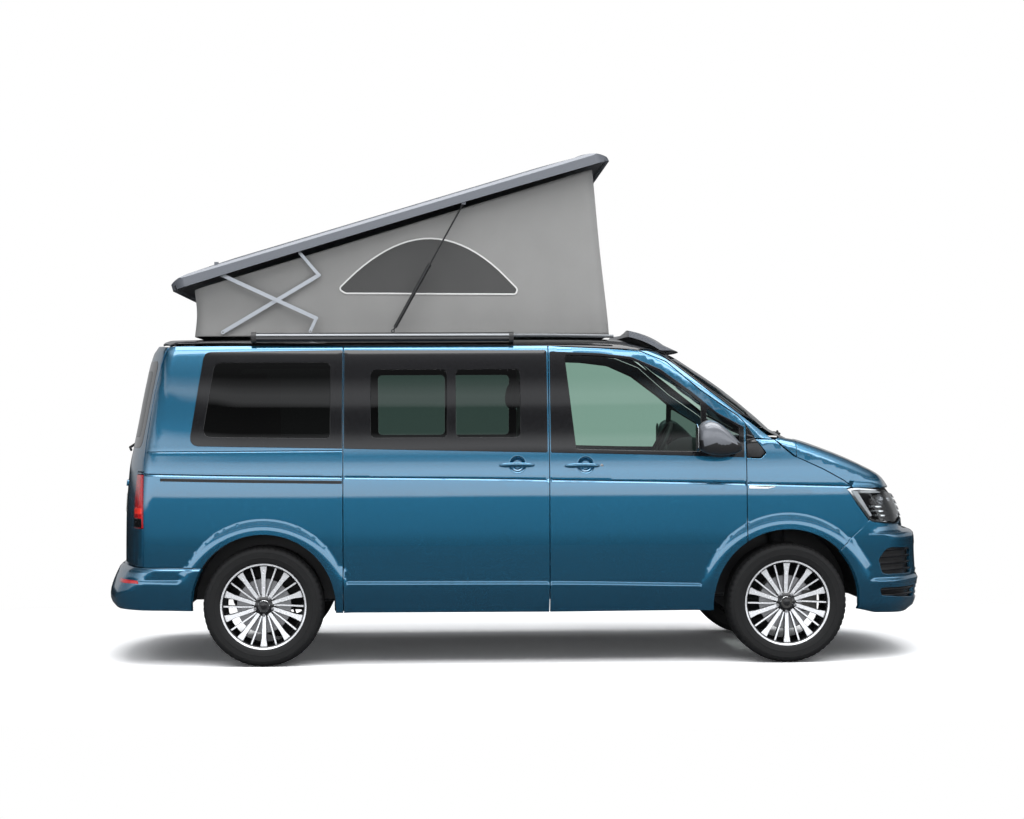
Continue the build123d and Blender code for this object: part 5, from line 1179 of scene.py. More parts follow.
# profiles: radius, distance outwards from the wheel's middle plane
TYRE_SIDE = [(0.243, 0.100), (0.246, 0.112), (0.252, 0.1175), (0.262, 0.1205), (0.276, 0.1238), (0.277, 0.1252),
             (0.282, 0.1254), (0.283, 0.1246), (0.296, 0.1258), (0.306, 0.1255), (0.307, 0.1270), (0.313, 0.1262),
             (0.314, 0.1240), (0.322, 0.1215), (0.330, 0.1160), (0.336, 0.1085), (0.3395, 0.0990)]
GROOVES = [(r, y0 + dy) for y0 in (0.074, 0.028, -0.028, -0.074)
           for r, dy in ((0.3424, 0.006), (0.3365, 0.0045), (0.3365, -0.0045), (0.3424, -0.006))]
TYRE_ROWS = TYRE_SIDE + GROOVES + [(r, -y) for r, y in reversed(TYRE_SIDE)]
SHOULDER, FAR_SHOULDER = len(TYRE_SIDE), len(TYRE_ROWS) - len(TYRE_SIDE)
SIPED_ROWS = {*range(SHOULDER - 3, SHOULDER + 1), FAR_SHOULDER - 1, FAR_SHOULDER}
BARREL = [(0.2465, 0.1000), (0.2470, 0.1060), (0.2440, 0.1075), (0.2300, 0.0985), (0.2270, 0.0900),
          (0.2250, 0.0600), (0.2200, 0.0200), (0.2140, -0.0200), (0.2140, -0.0700), (0.2260, -0.0960),
          (0.2460, -0.1040), (0.2460, -0.0980), (0.2360, -0.0900), (0.2180, -0.0600), (0.2360, 0.0850)]
RIM_LIP = [(0.2462, 0.1035), (0.2468, 0.1066), (0.2440, 0.1082), (0.2375, 0.1050), (0.2340, 0.1005), (0.2345, 0.0985)]
HUB = [(0.030, 0.070), (0.034, 0.072), (0.046, 0.068), (0.066, 0.055), (0.072, 0.030), (0.068, 0.000),
       (0.030, 0.000)]
CAP = [(0.0001, 0.078), (0.020, 0.0775), (0.0285, 0.0755), (0.0300, 0.0735), (0.0318, 0.0745), (0.0330, 0.0720),
       (0.0330, 0.0600), (0.0001, 0.0600)]
CAP_RING = [(0.0295, 0.0745), (0.0312, 0.0760), (0.0330, 0.0745), (0.0330, 0.0725), (0.0295, 0.0725)]
NUT = [(0.0001, 0.074), (0.0062, 0.0735), (0.0085, 0.071), (0.0088, 0.055), (0.0001, 0.055)]
DISC = [(0.070, 0.040), (0.154, 0.040), (0.156, 0.036), (0.156, 0.019), (0.070, 0.019)]
BOLT_R, WHEEL_Y, SIPE_DEPTH = 0.052, 0.8145, 0.0042


def sipes(s, k):
    """Depth of the tread's cross cuts at segment s and profile row k."""
    return SIPE_DEPTH if s % 4 == 0 and k in SIPED_ROWS else 0.0


for end, axle in (("front", FRONT_AXLE_X), ("rear", REAR_AXLE_X)):
    for side in (RIGHT, LEFT):
        tag = end + "_" + WORD[side]
        body = "wheel_" + tag
        at = (axle, side * WHEEL_Y, TYRE_R, side)
        tyre = turned("tyre_rubber_" + tag, TYRE_ROWS, at, TYRE_RUBBER, body, 240, sipes)
        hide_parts("tyre_" + tag)
        rim_piece = turned("rim_barrel_" + tag, BARREL, at, RIM_BLACK, body)
        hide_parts("rim_" + tag)
        turned("rim_lip_" + tag, RIM_LIP, at, RIM_FACE, body)
        spoke_mesh("rim_spokes_" + tag, at, (RIM_FACE, RIM_BLACK), body)
        turned("rim_hub_" + tag, HUB, at, RIM_BLACK, body, 72)
        turned("rim_cap_" + tag, CAP, at, RIM_BLACK, body, 72)
        turned("rim_cap_ring_" + tag, CAP_RING, at, CHROME, body, 72)
        for k in range(5):
            a = radians(72 * k + 54)
            where = (at[0] + BOLT_R * cos(a), at[1], at[2] + BOLT_R * sin(a), side)
            turned("rim_bolt_%d_%s" % (k, tag), NUT, where, STEEL, body, 18)
        turned("brake_disc_" + tag, DISC, at, STEEL, body, 96)

# brake calipers, fixed behind the spokes
CALIPER_R, CALIPER_Y = 0.150, 0.812
for side in (RIGHT, LEFT):
    for name, axle, body in (("front", FRONT_AXLE_X, "knuckle_" + WORD[side]), ("rear", REAR_AXLE_X, "van_body")):
        rings = []
        for a in np.linspace(radians(15), radians(75), 9):
            swell = 0.6 + 0.4 * sin((a - radians(15)) / radians(60) * pi)
            c = (axle - CALIPER_R * cos(a), side * CALIPER_Y, TYRE_R + CALIPER_R * sin(a))
            rings.append(super_ring(c, (-cos(a), 0, sin(a)), (0, 1, 0), 0.026 * swell, 0.034 * swell, 3.4, 16))
        loft("brake_caliper_%s_%s" % (name, WORD[side]), rings, IRON, body, "iron")

# ------------------------------------------------------------------ mirrors and handles
MIRROR_LINE = [(1.014, 1.330), (1.020, 1.366), (1.048, 1.392), (1.085, 1.400), (1.130, 1.385), (1.180, 1.345),
               (1.228, 1.296), (1.262, 1.258), (1.272, 1.236), (1.262, 1.215), (1.225, 1.199), (1.160, 1.192),
               (1.090, 1.197), (1.040, 1.210), (1.018, 1.235), (1.012, 1.280)]
# columns: y, size, drift along x
MIRROR_RINGS = ((0.990, 0.78, 0.0), (0.994, 0.88, 0.0), (1.006, 0.95, 0.0), (1.040, 1.0, 0.0), (1.085, 0.97, 0.0),
                (1.118, 0.86, 0.006), (1.138, 0.66, 0.012), (1.147, 0.34, 0.02))
MIRROR_MIDDLE = np.array([1.130, 1.285])
MIRROR_SPLIT_Z = 1.262      # painted above, black below
MIRROR_TOP = material("mirror_shell", (0.17, 0.18, 0.20), 0.30, metallic=0.3, spread=0.05, grain=200.0, bump=0.02,
                      coat=0.7)
for side in (RIGHT, LEFT):
    tag = WORD[side]
    body = "front_door_" + tag
    rings = []
    for y, size, drift in MIRROR_RINGS:
        points = MIRROR_MIDDLE + (np.array(MIRROR_LINE) - MIRROR_MIDDLE) * size
        rings.append([(x + drift, side * y, z) for x, z in points])
    head = loft("mirror_head_" + tag, rings, MIRROR_TOP, body, "paint_blue", levels=2)
    head.data.materials.append(TRIM_BLACK)
    for p in head.data.polygons:
        p.material_index = 1 if p.center[2] < MIRROR_SPLIT_Z else 0
    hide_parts("mirror_" + tag)
    glass_rings = [[(x, side * y, z) for x, z in ((1.0085, low), (1.0085, high), (1.013, high), (1.013, low))]
                   for y, low, high in ((0.999, 1.225, 1.365), (1.06, 1.215, 1.372), (1.115, 1.235, 1.350))]
    loft("mirror_glass_" + tag, glass_rings, CHROME, body, "glass", smooth=False)
    arm = [super_ring((1.16, side * y, 1.205 + 0.01 * k), (1, 0, 0), (0, 0, 1), a, b, 3.0, 16)
           for k, (y, a, b) in enumerate(((0.928, 0.066, 0.026), (0.950, 0.055, 0.022), (0.985, 0.050, 0.022),
                                         (1.010, 0.050, 0.024)))]
    loft("mirror_arm_" + tag, arm, TRIM_BLACK, body, "black_trim")


def handle(name, side, x0, x1, z, body):
    """Pull bar that stands off the skin, tapering into it at both ends."""
    rings = []
    for t in np.linspace(0, 1, 15):
        x = x0 + (x1 - x0) * t
        lift = 0.024 * np.clip(1 - (2 * t - 1) ** 6, 0, 1)
        y = float(side_y(np.array([x]), np.array([z + 0.035]))[0]) + lift - 0.002
        rings.append(super_ring((x, side * y, z + 0.004 * sin(pi * t)), (0, 1, 0), (0, 0, 1),
                                0.0075, 0.0125 * (0.55 + 0.45 * np.clip(1 - (2 * t - 1) ** 4, 0, 1)), 2.8, 16))
    loft(name, rings, PAINT, body, "paint_blue")


handle("sliding_handle", RIGHT, -0.112, 0.093, 1.141, "van_body")
for side in (RIGHT, LEFT):
    handle("door_handle_" + WORD[side], side, 0.264, 0.464, 1.136, "front_door_" + WORD[side])
    turned("door_lock_" + WORD[side],
           [(0.0001, 0.004), (0.008, 0.0038), (0.0095, 0.002), (0.0095, -0.006), (0.0001, -0.006)],
           (0.478, side * 0.934, 1.137, side), STEEL, "front_door_" + WORD[side], 24)

# ------------------------------------------------------------------ trims on the side
rail = [(x, float(CREASE_AT(x)) - drop, r)
        for drop, ends in ((0.017, (-2.040, -1.60, -1.006)), (0.034, (-1.006, -1.60, -2.040)))
        for x, r in zip(ends, (0.003, 0, 0.003))]
panel("slide_rail_slot", SIDE_OUT[RIGHT], rail, *BODY_TRIM, thick=0.006, lip=0.0008)
blade = [(1.322, 1.019, 0.003), (1.478, 1.016, 0.003), (1.470, 1.008, 0.003), (1.430, 1.000, 0.004),
         (1.322, 1.001, 0.003)]
REFLECTOR_LINE = [(-2.170, 0.474), (-2.300, 0.474), (-2.300, 0.496), (-2.175, 0.492)]
reflector = side_rows(TAIL_BUMPER_VIEW, *as_rows(REFLECTOR_LINE, r=0.004))
proud_tail = RoundView(-1, TAIL_CENTRE, lambda x, y, z: tail_field(x, y, z) - 0.002)
for side in (RIGHT, LEFT):
    panel("wing_trim_" + WORD[side], SideView(side, near_field(0.004)), blade, CHROME, "van_body", "bar_metal",
          thick=0.008, lip=0.0015)
    panel("bumper_reflector_" + WORD[side], proud_tail, mirrored(reflector, side), LAMP_RED, "van_body", "lamp_red",
          thick=0.008)

# ------------------------------------------------------------------ headlamps
LAMP_SLOT = ("van_body", "lamp_clear")
LAMP_DEEP = RoundView(1, NOSE_CENTRE, near_field(-0.022))


def lamp_strip(name, side, points, mat):
    """A bar inside the headlamp, from rows (x, z, corner radius) of the side view."""
    rows = mirrored(side_rows(NOSE_VIEW, *points), side)
    panel(name, LAMP_DEEP, rounded(rows, 0.01), mat, *LAMP_SLOT, thick=0.02, pitch=0.02)


for side in (RIGHT, LEFT):
    tag = WORD[side]
    lamp_loop = rounded(mirrored(LAMP_ROWS, side))
    panel("headlamp_house_" + tag, RoundView(1, NOSE_CENTRE, near_field(-0.050)), inset(lamp_loop, 0.006),
          GLOSS_BLACK, *LAMP_SLOT, thick=0.01, pitch=0.03)
    panel("headlamp_rim_" + tag, RoundView(1, NOSE_CENTRE, near_field(-0.003)), lamp_loop, CHROME, *LAMP_SLOT,
          holes=[inset(lamp_loop, 0.011)], thick=0.045, pitch=0.05)
    cover = panel("headlamp_cover_" + tag, NOSE_VIEW, inset(lamp_loop, 0.001), GLASS_LAMP, *LAMP_SLOT, thick=0.004,
                  pitch=0.03, back=False)
    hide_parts("headlamps")
    lamp_strip("headlamp_day_strip_" + tag, side, [(1.935, 0.983, 0.002), (1.972, 0.983, 0.004),
                                                   (2.066, 0.838, 0.004), (2.040, 0.829, 0.002)], LAMP_PALE)
    lamp_strip("headlamp_brow_" + tag, side, [(1.985, 0.986, 0.003), (2.200, 0.972, 0.002), (2.200, 0.960, 0.002),
                                              (1.995, 0.971, 0.003)], LAMP_PALE)
    for n in range(3):
        x, z = 2.085 - 0.012 * n, 0.832 + n * 0.026
        lamp_strip("headlamp_slat_%d_%s" % (n, tag), side, [(x, z, 0.002), (2.245, z - 0.004, 0.002),
                                                            (2.245, z + 0.008, 0.002), (x, z + 0.011, 0.002)], CHROME)
    for number, (u, v), r in ((213, NOSE_VIEW.from_side(2.135, 0.925), 0.034),
                              (223, NOSE_VIEW.from_end(-0.64, 0.915), 0.030)):
        o, d, reach = NOSE_VIEW.rays(np.array([[-side * u, v]]))
        axis = d[0]
        p = cast(o, d, reach)[0] - axis * 0.030
        across = np.array([-axis[1], axis[0], 0.0])
        rings = [super_ring(p + axis * depth, across, (0, 0, 1), r * size, r * size, 2.0, 32)
                 for depth, size in ((-0.020, 1.0), (0.0, 1.0), (0.004, 0.93), (0.002, 0.80), (0.012, 0.62),
                                     (0.017, 0.32))]
        loft("headlamp_lens_%d_%s" % (number, tag), rings, REFLECTOR, *LAMP_SLOT)

# ------------------------------------------------------------------ tail lamps' feet, roof furniture
for side in (RIGHT, LEFT):
    corner_panel(side, 0.792, 0.845, "tail_lamp_foot_" + WORD[side], GLOSS_BLACK, "lamp_red", proud=0.0055,
                 pull=0.004)
for side in (RIGHT, LEFT):
    rings = [super_ring((x, side * 0.782, 1.889 - 0.012 * ramp(x, 0.1, 0.9)), (0, 1, 0), (0, 0, 1), 0.012, 0.010, 3.5,
                        16) for x in np.linspace(-1.507, 0.560, 40)]
    rail_piece = loft("roof_rail_" + WORD[side], rings, *BODY_SILVER)
    if side == RIGHT:
        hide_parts("roof_rails")


def along_x(name, xs, section, mat):
    """A bar along x on the right side, from a section of half-widths and heights."""
    return loft(name, [[(x, -y, z) for y, z in section] for x in xs], mat, "van_body", "case_silver")


case_piece = along_x("awning_body", np.linspace(-1.507, -0.040, 30),
                     ((0.756, 1.872), (0.756, 1.900), (0.766, 1.908), (0.800, 1.906), (0.815, 1.896), (0.820, 1.880),
                      (0.818, 1.862), (0.808, 1.854), (0.780, 1.860)), ROOF_BLACK)
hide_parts("awning_case")
along_x("awning_strip", np.linspace(-1.500, -0.046, 30),
        ((0.8140, 1.8990), (0.8195, 1.8950), (0.8215, 1.8870), (0.8190, 1.8860), (0.8150, 1.8900)), CASE_SILVER)
for xs in ((-1.530, -1.500), (-0.047, -0.020)):
    along_x("awning_end_%d" % int(-xs[0] * 1000), xs,
            ((0.754, 1.868), (0.754, 1.902), (0.766, 1.911), (0.802, 1.909), (0.818, 1.898), (0.824, 1.880),
             (0.821, 1.858), (0.808, 1.850), (0.780, 1.856)), TRIM_BLACK)

# materials for CAD nodes that stay as they are
for mat, nodes in ((UNDERBODY, ("floor_pan", "front_panel", "front_subframe", "rear_subframe")),
                   (TRIM_BLACK, ("wheel_arch_liners", "fuel_tank")), (CABIN_DARK, ("dashboard", "steering_wheel")),
                   (CABINET, ("kitchen_cabinet",)), (IRON, ("engine_block", "knuckle_right", "knuckle_left")),
                   (STEEL, ("exhaust",)), (SHELL_GREY, ("wind_deflector", "pop_top_shell")),
                   (BAR_METAL, ("scissor_arms", "scissor_braces", "scissor_top_links", "scissor_foot_links")),
                   (STRUT_BLACK, ("strut_barrels", "strut_rods")), (SEAT_CLOTH, ("front_seats", "rear_bench"))):
    for node in nodes:
        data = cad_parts[node].data
        data.materials.clear()
        data.materials.append(mat)

# ------------------------------------------------------------------ canvas
CANVAS_FOOT, CANVAS_HALF = 1.8935, 0.597
CANVAS_REAR, CANVAS_FRONT = -1.882, 0.557
CANVAS_LONG, CANVAS_WIDE = CANVAS_FRONT - CANVAS_REAR, 2 * CANVAS_HALF
CANVAS_R, CANVAS_HEIGHT, CANVAS_LEAN, CANVAS_SAG = 0.085, 0.99, 0.096, 0.016
TOP_REAR, TOP_FRONT, TOP_FRONT_X = 2.166, 2.876, 0.461


def canvas_top(x):
    return TOP_REAR + (x - CANVAS_REAR) * (TOP_FRONT - TOP_REAR) / (TOP_FRONT_X - CANVAS_REAR)


def canvas_ring_point(s):
    """Point, outward direction and run's number at s, 0..1 round the plan from the rear right corner."""
    r = CANVAS_R
    runs = [CANVAS_LONG - 2 * r, pi * r / 2, CANVAS_WIDE - 2 * r, pi * r / 2] * 2
    d = (s % 1.0) * sum(runs)
    corners = [(CANVAS_REAR + r, -CANVAS_HALF), (CANVAS_FRONT - r, -CANVAS_HALF + r),
               (CANVAS_FRONT, -CANVAS_HALF + r), (CANVAS_FRONT - r, CANVAS_HALF - r),
               (CANVAS_FRONT - r, CANVAS_HALF), (CANVAS_REAR + r, CANVAS_HALF - r),
               (CANVAS_REAR, CANVAS_HALF - r), (CANVAS_REAR + r, -CANVAS_HALF + r)]
    k = 0
    while d > runs[k] + 1e-9 and k < 7:
        d -= runs[k]
        k += 1
    (x, y), side = corners[k], k // 2
    if k % 2 == 0:
        ahead = [(1, 0), (0, 1), (-1, 0), (0, -1)][side]
        return x + ahead[0] * d, y + ahead[1] * d, (ahead[1], -ahead[0]), k
    a = [-pi / 2, 0, pi / 2, pi][side] + d / r
    return x + r * cos(a), y + r * sin(a), (cos(a), sin(a)), k


def canvas_vertex(s, h):
    """Point of the wall at s round the plan and h up from foot to top, both 0..1."""
    x, y, n, k = canvas_ring_point(s)
    share = (x - CANVAS_REAR) / CANVAS_LONG
    lean = CANVAS_LEAN * share ** 3
    z = CANVAS_FOOT + (canvas_top(x - lean) - CANVAS_FOOT) * h
    sag = -CANVAS_SAG * sin(pi * h) ** 1.2
    if k in (0, 4):
        sag += -0.006 * sin(pi * h) * sin(7.0 * x + 1.2) * sin(3.1 * x)
        sag += 0.005 * (1 - h) ** 2 * sin(23 * x) * ramp(np.array(share), 0.0, 0.3)
    if k in (2, 6):
        sag += -0.010 * sin(pi * h) * cos(4 * y)
    return (x - lean * h ** 1.3 + n[0] * sag, y + n[1] * sag, z)


def canvas_wall(around=260, up=46):
    verts = [canvas_vertex(i / around, j / up) for i in range(around) for j in range(up + 1)]
    faces = []
    for i in range(around):
        a, b = i * (up + 1), (i + 1) % around * (up + 1)
        faces += [(a + j, b + j, b + j + 1, a + j + 1) for j in range(up)]
    return new_piece("canvas_wall", verts, faces, CANVAS, "van_body")


canvas = canvas_wall()
cover = canvas.modifiers.new("thick", "SOLIDIFY")
cover.thickness = 0.0016
cover.offset = 0
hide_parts("pop_top_canvas")


def window_outline():
    """Half-moon window: flat foot, round top, small end radii."""
    rows = [(-0.995, 2.150, 0.03), (0.0, 2.143, 0.03), (0.008, 2.168, 0.03)]
    for t in np.linspace(0.06, 0.94, 22):
        x = 0.005 + (-1.035 - 0.005) * t
        rows.append((x, 2.150 + 0.312 * sin(pi * t) ** 0.80 * (1.0 - 0.10 * (t - 0.5)), 0.0))
    return rounded(rows + [(-1.030, 2.172, 0.03)])


def canvas_side_y(x, z):
    """Half-width of the canvas's long sides, as in canvas_vertex."""
    share = np.clip((x - CANVAS_REAR) / CANVAS_LONG, 0, 1)
    h = np.clip((z - CANVAS_FOOT) / (canvas_top(x - CANVAS_LEAN * share ** 3) - CANVAS_FOOT), 0, 1)
    sag = -CANVAS_SAG * np.sin(pi * h) ** 1.2 - 0.006 * np.sin(pi * h) * np.sin(7.0 * x + 1.2) * np.sin(3.1 * x)
    sag += 0.005 * (1 - h) ** 2 * np.sin(23 * x) * ramp(share, 0.0, 0.3)
    return CANVAS_HALF + sag


def on_canvas(side, out):
    """Side view of the canvas's wall moved outwards by out."""
    return SideView(side, lambda x, y, z: np.abs(y) - canvas_side_y(x, z) - out)


window_loop = window_outline()
pieces_on_canvas = []
for side in (RIGHT, LEFT):
    net = panel("canvas_net_" + WORD[side], on_canvas(side, 0.0034), window_loop, MESH_NET, "van_body", "canvas",
                thick=0.0016, pitch=0.03, lip=0.0004)
    tape = panel("canvas_tape_" + WORD[side], on_canvas(side, 0.0050), inset(window_loop, -0.009), TAPE_WHITE,
                 "van_body", "canvas", holes=[window_loop], thick=0.0022, pitch=0.03, lip=0.0006)
    pieces_on_canvas += [net, tape]
for piece in [canvas] + pieces_on_canvas:
    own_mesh(piece)

# ------------------------------------------------------------------ cabin
LINING = near_field(-0.045)
IN_CABIN = ("van_body", "cabin_plastic")
for side in (RIGHT, LEFT):
    tag = WORD[side]
    holes = [[(-1.82, 1.29, 0.04), (-1.75, 1.75, 0.04), (-1.06, 1.75, 0.03), (-1.06, 1.28, 0.03)],
             [(-0.90, 1.28, 0.04), (-0.90, 1.74, 0.04), (0.06, 1.74, 0.04), (0.06, 1.26, 0.04)]]
    panel("side_lining_" + tag, SideView(side, LINING),
          [(-2.00, 1.00, 0.02), (-1.95, 1.80, 0.02), (0.12, 1.80, 0.02), (0.12, 1.00, 0.02)], CABIN_LIGHT, *IN_CABIN,
          holes=holes, thick=0.006, pitch=0.06)
    panel("door_lining_" + tag, SideView(side, LINING),
          [(0.24, 0.60, 0.04), (0.24, 1.19, 0.02), (1.20, 1.16, 0.02), (1.14, 0.75, 0.05), (1.0, 0.60, 0.05)],
          CABIN_DARK, "front_door_" + tag, "cabin_plastic", thick=0.012, pitch=0.06)
    tube("door_pull_" + tag, [(x, side * y, z) for x, y, z in ((0.45, 0.880, 0.98), (0.48, 0.850, 0.99),
                                                               (0.62, 0.845, 1.0), (0.76, 0.850, 1.01),
                                                               (0.79, 0.880, 1.02))],
         0.012, TRIM_BLACK, "front_door_" + tag, "cabin_plastic")
panel("headlining", TunnelView(ROOF_LOW, near_field(-0.040)),
      [(0.78, -0.60, 0.02), (0.78, 0.60, 0.02), (-2.0, 0.62, 0.02), (-2.0, -0.62, 0.02)], CABIN_LIGHT, *IN_CABIN,
      holes=[hatch], thick=0.006, pitch=0.08)


def signed_power(v, e):
    """Power of the size, with the sign kept."""
    return np.sign(v) * abs(v) ** e


def cushion(name, centre, half, turn, channels=0):
    """Crowned cushion with pulled-in sides and sewn channels: centre, half sizes, pitch about y."""
    rows, cols, power = 20, 26, 3.2
    hx, hy, hz = half
    place = Matrix.Translation(centre) @ Matrix.Rotation(radians(turn), 4, "Y")
    verts, faces = [], []
    for i in range(rows + 1):
        phi = -pi / 2 + pi * i / rows
        cp, sp = cos(phi), sin(phi)
        for j in range(cols):
            t = 2 * pi * j / cols
            x = hx * signed_power(cp, 2 / power) * signed_power(cos(t), 2 / power)
            y = hy * signed_power(cp, 2 / power) * signed_power(sin(t), 2 / power)
            z = hz * signed_power(sp, 0.9)
            z *= 0.82 + 0.18 * (1 - (x / hx) ** 2) * (1 - (y / hy) ** 2)
            if channels and sp > 0:
                z -= 0.006 * abs(cos(pi * channels * (x / hx + 1) / 2)) ** 14
            verts.append(place @ Vector((x, y, z)))
    for i in range(rows):
        for j in range(cols):
            k = (j + 1) % cols
            faces.append((i * cols + j, i * cols + k, (i + 1) * cols + k, (i + 1) * cols + j))
    obj = new_piece(name, verts, faces, SEAT_CLOTH, "van_body")
    fix_normals(obj, 180)
    sub = obj.modifiers.new("round", "SUBSURF")
    sub.levels = sub.render_levels = 1
    return obj


def seat(prefix, x, y, half_w):
    """Cushion, back, headrest with its posts, and plinth; x is the back's foot."""
    base = cushion(prefix + "_cushion", (x + 0.42, y, 0.90), (0.245, half_w, 0.075), -4, 4)
    cushion(prefix + "_back", (x + 0.135, y, 1.24), (0.295, half_w * 0.97, 0.062), -78, 4)
    cushion(prefix + "_headrest", (x + 0.052, y, 1.555), (0.085, 0.125, 0.042), -82)
    rings = [super_ring((x + 0.40, y, z), (1, 0, 0), (0, 1, 0), a, half_w * share, 5.0, 32)
             for z, a, share in ((0.57, 0.20, 0.86), (0.60, 0.22, 0.9), (0.72, 0.20, 0.84), (0.83, 0.225, 0.94))]
    loft(prefix + "_plinth", rings, CABIN_DARK, *IN_CABIN)
    for letter, s in (("a", -1), ("b", 1)):
        tube(prefix + "_post_" + letter, [(x + 0.078, y + s * 0.06, 1.46), (x + 0.062, y + s * 0.06, 1.53)],
             0.006, CHROME, "van_body", "bar_metal")
    return base


seat_right = seat("seat_right", -0.035, -0.43, 0.245)
seat("seat_left", -0.035, 0.43, 0.245)
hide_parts("front_seats")
bench = seat("bench", -1.745, -0.11, 0.49)
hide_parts("rear_bench")

KITCHEN_Y = 0.478
# columns: x from, x to, z from, z to
KITCHEN_FRONTS = [(-1.90, -1.42, 0.62, 1.18), (-1.40, -0.92, 0.62, 0.98), (-1.40, -0.92, 1.0, 1.18),
                  (-0.90, -0.16, 0.62, 1.18), (-1.90, -1.45, 1.22, 1.66)]
for n, (x0, x1, z0, z1) in enumerate(KITCHEN_FRONTS):
    rings = [[(x, KITCHEN_Y - proud, z) for x, z, _ in flat_box(x0 + d, z0 + d, x1 - d, z1 - d, 0)]
             for d, proud in ((0.0, 0.0), (0.0, 0.010), (0.003, 0.013))]
    loft("kitchen_front_%d" % n, rings, CABINET, "van_body", "cabinet", smooth=False)
    tube("kitchen_pull_%d" % n, [((x0 + x1) / 2 + dx, 0.455, z1 - 0.05) for dx in (-0.05, 0.05)], 0.006, *BODY_METAL)


# ------------------------------------------------------------------ wipers, plates, tailgate's grip
def on_screen(y, z, out=0.012):
    """Point that stands off the windscreen at y, z."""
    p = cast(np.array([[-0.4, y, z]]), np.array([[1.0, 0.0, 0.0]]), 2.6)[0]
    return p + normals_at(p[None])[0] * out


# columns: y of the blade's ends, height that its far end leans towards
for name, y0, y1, z1 in (("right", -0.62, 0.02, 1.325), ("left", 0.05, 0.68, 1.330)):
    blade = [on_screen(y0 + (y1 - y0) * t, 1.300 + (z1 - 1.300) * t * 0.3) for t in np.linspace(0, 1, 12)]
    tube("wiper_blade_" + name, blade, 0.006, *BODY_TRIM, 8)
    middle = (y0 + y1) / 2
    arm = [(1.640, y1 * 0.9 + y0 * 0.1, 1.268), on_screen(middle + 0.2, 1.296, 0.024),
           on_screen(middle, 1.306, 0.020)]
    tube("wiper_arm_" + name, arm, 0.007, *BODY_TRIM, 8)

panel("plate_front", EndView(1, NOSE_CENTRE, lambda x, y, z: nose_field(x, y, z) - 0.006),
      flat_box(-0.26, 0.420, 0.26, 0.500, 0.008), CABIN_LIGHT, "van_body", "black_trim", thick=0.004)
panel("plate_rear", EndView(-1, TAIL_CENTRE, near_field(0.004)), flat_box(-0.26, 0.86, 0.26, 0.97, 0.008),
      CABIN_LIGHT, "tailgate", "black_trim", thick=0.004)
panel("tailgate_grip", EndView(-1, TAIL_CENTRE, near_field(0.010)), flat_box(-0.30, 1.015, 0.30, 1.05, 0.01),
      PAINT, "tailgate", "paint_blue", thick=0.012)
tube("tail_wiper", [(-2.33, 0.0, 1.225), (-2.345, 0.06, 1.24), (-2.30, 0.34, 1.29), (-2.298, 0.42, 1.30)], 0.008,
     TRIM_BLACK, "tailgate", "black_trim", 8)


# ------------------------------------------------------------------ light, floor, world
def make_world():
    """White to the camera; bands of light and dark that give the paint its reflections."""
    world = bpy.data.worlds.new("studio")
    scene.world = world
    world.use_nodes = True
    tree = world.node_tree
    tree.nodes.clear()
    out, mix = add(tree, "OutputWorld"), add(tree, "MixShader")
    seen = add(tree, "Background", Color=(1, 1, 1, 1))
    lit = add(tree, "Background")
    path = add(tree, "LightPath")
    most = add(tree, "Math")
    most.operation = "MAXIMUM"
    place, split = add(tree, "TexCoord"), add(tree, "SeparateXYZ")
    remap = add(tree, "MapRange", From_Min=-1, From_Max=1)
    tone = add(tree, "ValToRGB")
    # columns: height of the direction (0 straight down, 1 straight up), brightness
    stops = [(0.0, 0.03), (0.40, 0.02), (0.499, 0.03), (0.501, 0.98), (0.545, 0.92), (0.60, 0.95), (0.628, 0.70),
             (0.640, 0.07), (0.6805, 0.05), (0.6845, 0.66), (0.697, 0.28), (0.712, 0.08), (0.745, 0.12), (0.80, 0.60),
             (0.92, 0.75), (1.0, 0.65)]
    elements = tone.color_ramp.elements
    while len(elements) < len(stops):
        elements.new(0.5)
    for element, (at, grey) in zip(elements, stops):
        element.position = at
        element.color = (grey * 0.98, grey, grey * 1.03, 1)
    # brighter on the camera's side, dimmer behind the van
    behind = add(tree, "MapRange", From_Min=-0.30, From_Max=0.25, To_Min=1.9, To_Max=0.40)
    wire(tree, (path.outputs["Is Camera Ray"], most.inputs[0]), (path.outputs["Is Transmission Ray"], most.inputs[1]),
         (place.outputs["Generated"], split.inputs[0]), (split.outputs["Z"], remap.inputs["Value"]),
         (remap.outputs[0], tone.inputs[0]), (tone.outputs[0], lit.inputs[0]),
         (split.outputs["Y"], behind.inputs["Value"]), (behind.outputs[0], lit.inputs[1]),
         (most.outputs[0], mix.inputs[0]), (lit.outputs[0], mix.inputs[1]), (seen.outputs[0], mix.inputs[2]),
         (mix.outputs[0], out.inputs[0]))


def area_light(name, at, aim, size, power):
    """A rectangular light that looks at a point."""
    data = bpy.data.lights.new(name, "AREA")
    data.shape = "RECTANGLE"
    data.size, data.size_y = size
    data.energy = power
    lamp = bpy.data.objects.new(name, data)
    lamp.location = at
    lamp.rotation_euler = (Vector(aim) - Vector(at)).to_track_quat("-Z", "Y").to_euler()
    scene.collection.objects.link(lamp)


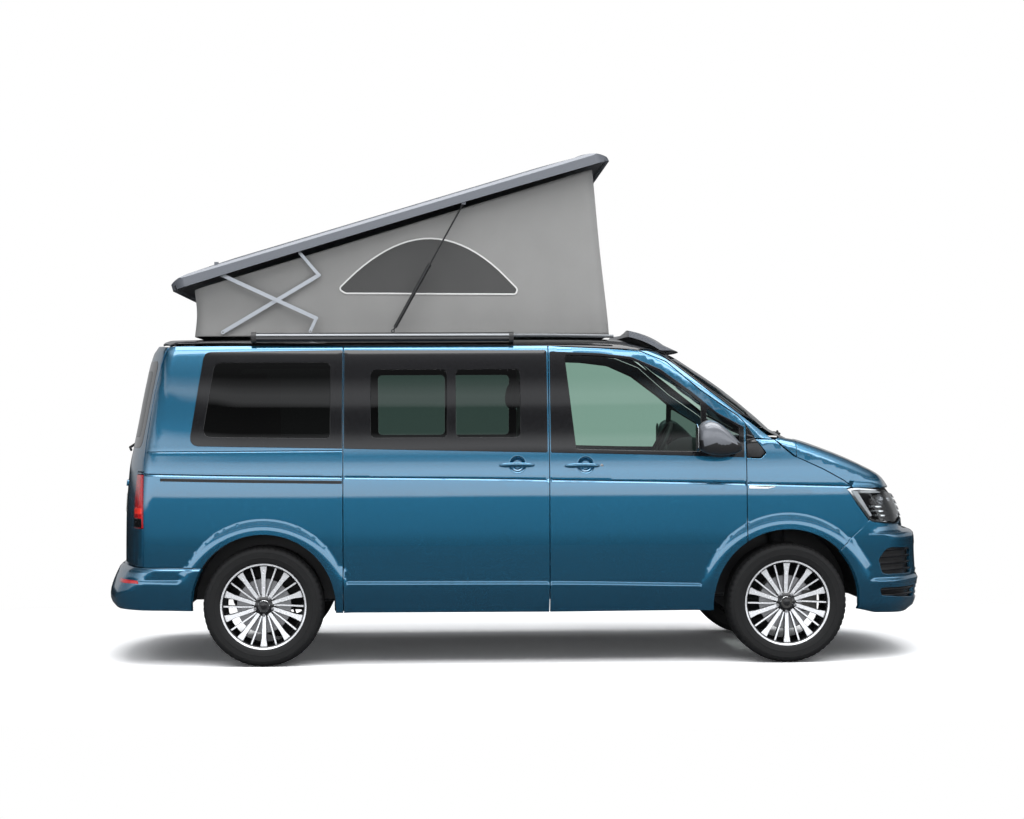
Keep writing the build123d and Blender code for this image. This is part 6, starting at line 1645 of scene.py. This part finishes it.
make_world()
area_light("top_light", (0, -1.0, 7.0), (0, 0, 0), (9.0, 5.0), 560)
area_light("side_light", (0, -6.2, 7.2), (0, -0.9, 1.2), (14.0, 2.0), 260)


def make_floor_material():
    """Pale paper: white to the camera with the object's shadow kept, and dark in the body's reflections."""
    mat = material("floor_pale", (0.92, 0.92, 0.92), 0.9, spread=0.004, grain=2.0, bump=0.0)
    tree = mat.node_tree
    out = node_of(mat, "OUTPUT_MATERIAL")
    paper = out.inputs[0].links[0].from_socket
    more = add(tree, "BsdfDiffuse", Color=(0.45, 0.45, 0.45, 1))
    both = add(tree, "AddShader")
    # the paper fades out far from the van, so that it has no edge in the picture
    place = add(tree, "TexCoord")
    shrink = add(tree, "Mapping", Scale=(1 / 6.0, 1 / 3.6, 0))
    reach = add(tree, "TexGradient")
    reach.gradient_type = "SPHERICAL"
    fade = add(tree, "ValToRGB")
    for stop, at in zip(fade.color_ramp.elements, (0.04, 0.40)):
        stop.position = at
    faded, seen, mirror = (add(tree, "MixShader") for _ in range(3))
    path = add(tree, "LightPath")
    dark = add(tree, "BsdfDiffuse", Color=(0.05, 0.055, 0.06, 1))
    wire(tree, (paper, both.inputs[0]), (more.outputs[0], both.inputs[1]),
         (place.outputs["Object"], shrink.inputs["Vector"]), (shrink.outputs[0], reach.inputs["Vector"]),
         (reach.outputs["Fac"], fade.inputs[0]), (fade.outputs[0], faded.inputs[0]),
         (add(tree, "BsdfTransparent").outputs[0], faded.inputs[1]), (both.outputs[0], faded.inputs[2]),
         (path.outputs["Is Camera Ray"], seen.inputs[0]), (paper, seen.inputs[1]), (faded.outputs[0], seen.inputs[2]),
         (path.outputs["Is Glossy Ray"], mirror.inputs[0]), (seen.outputs[0], mirror.inputs[1]),
         (dark.outputs[0], mirror.inputs[2]), (mirror.outputs[0], out.inputs[0]))
    return mat


floor = new_piece("floor", [(-9, -6, 0), (9, -6, 0), (9, 5, 0), (-9, 5, 0)], [(0, 1, 2, 3)], make_floor_material(),
                  None)
scene.view_settings.view_transform = "Standard"
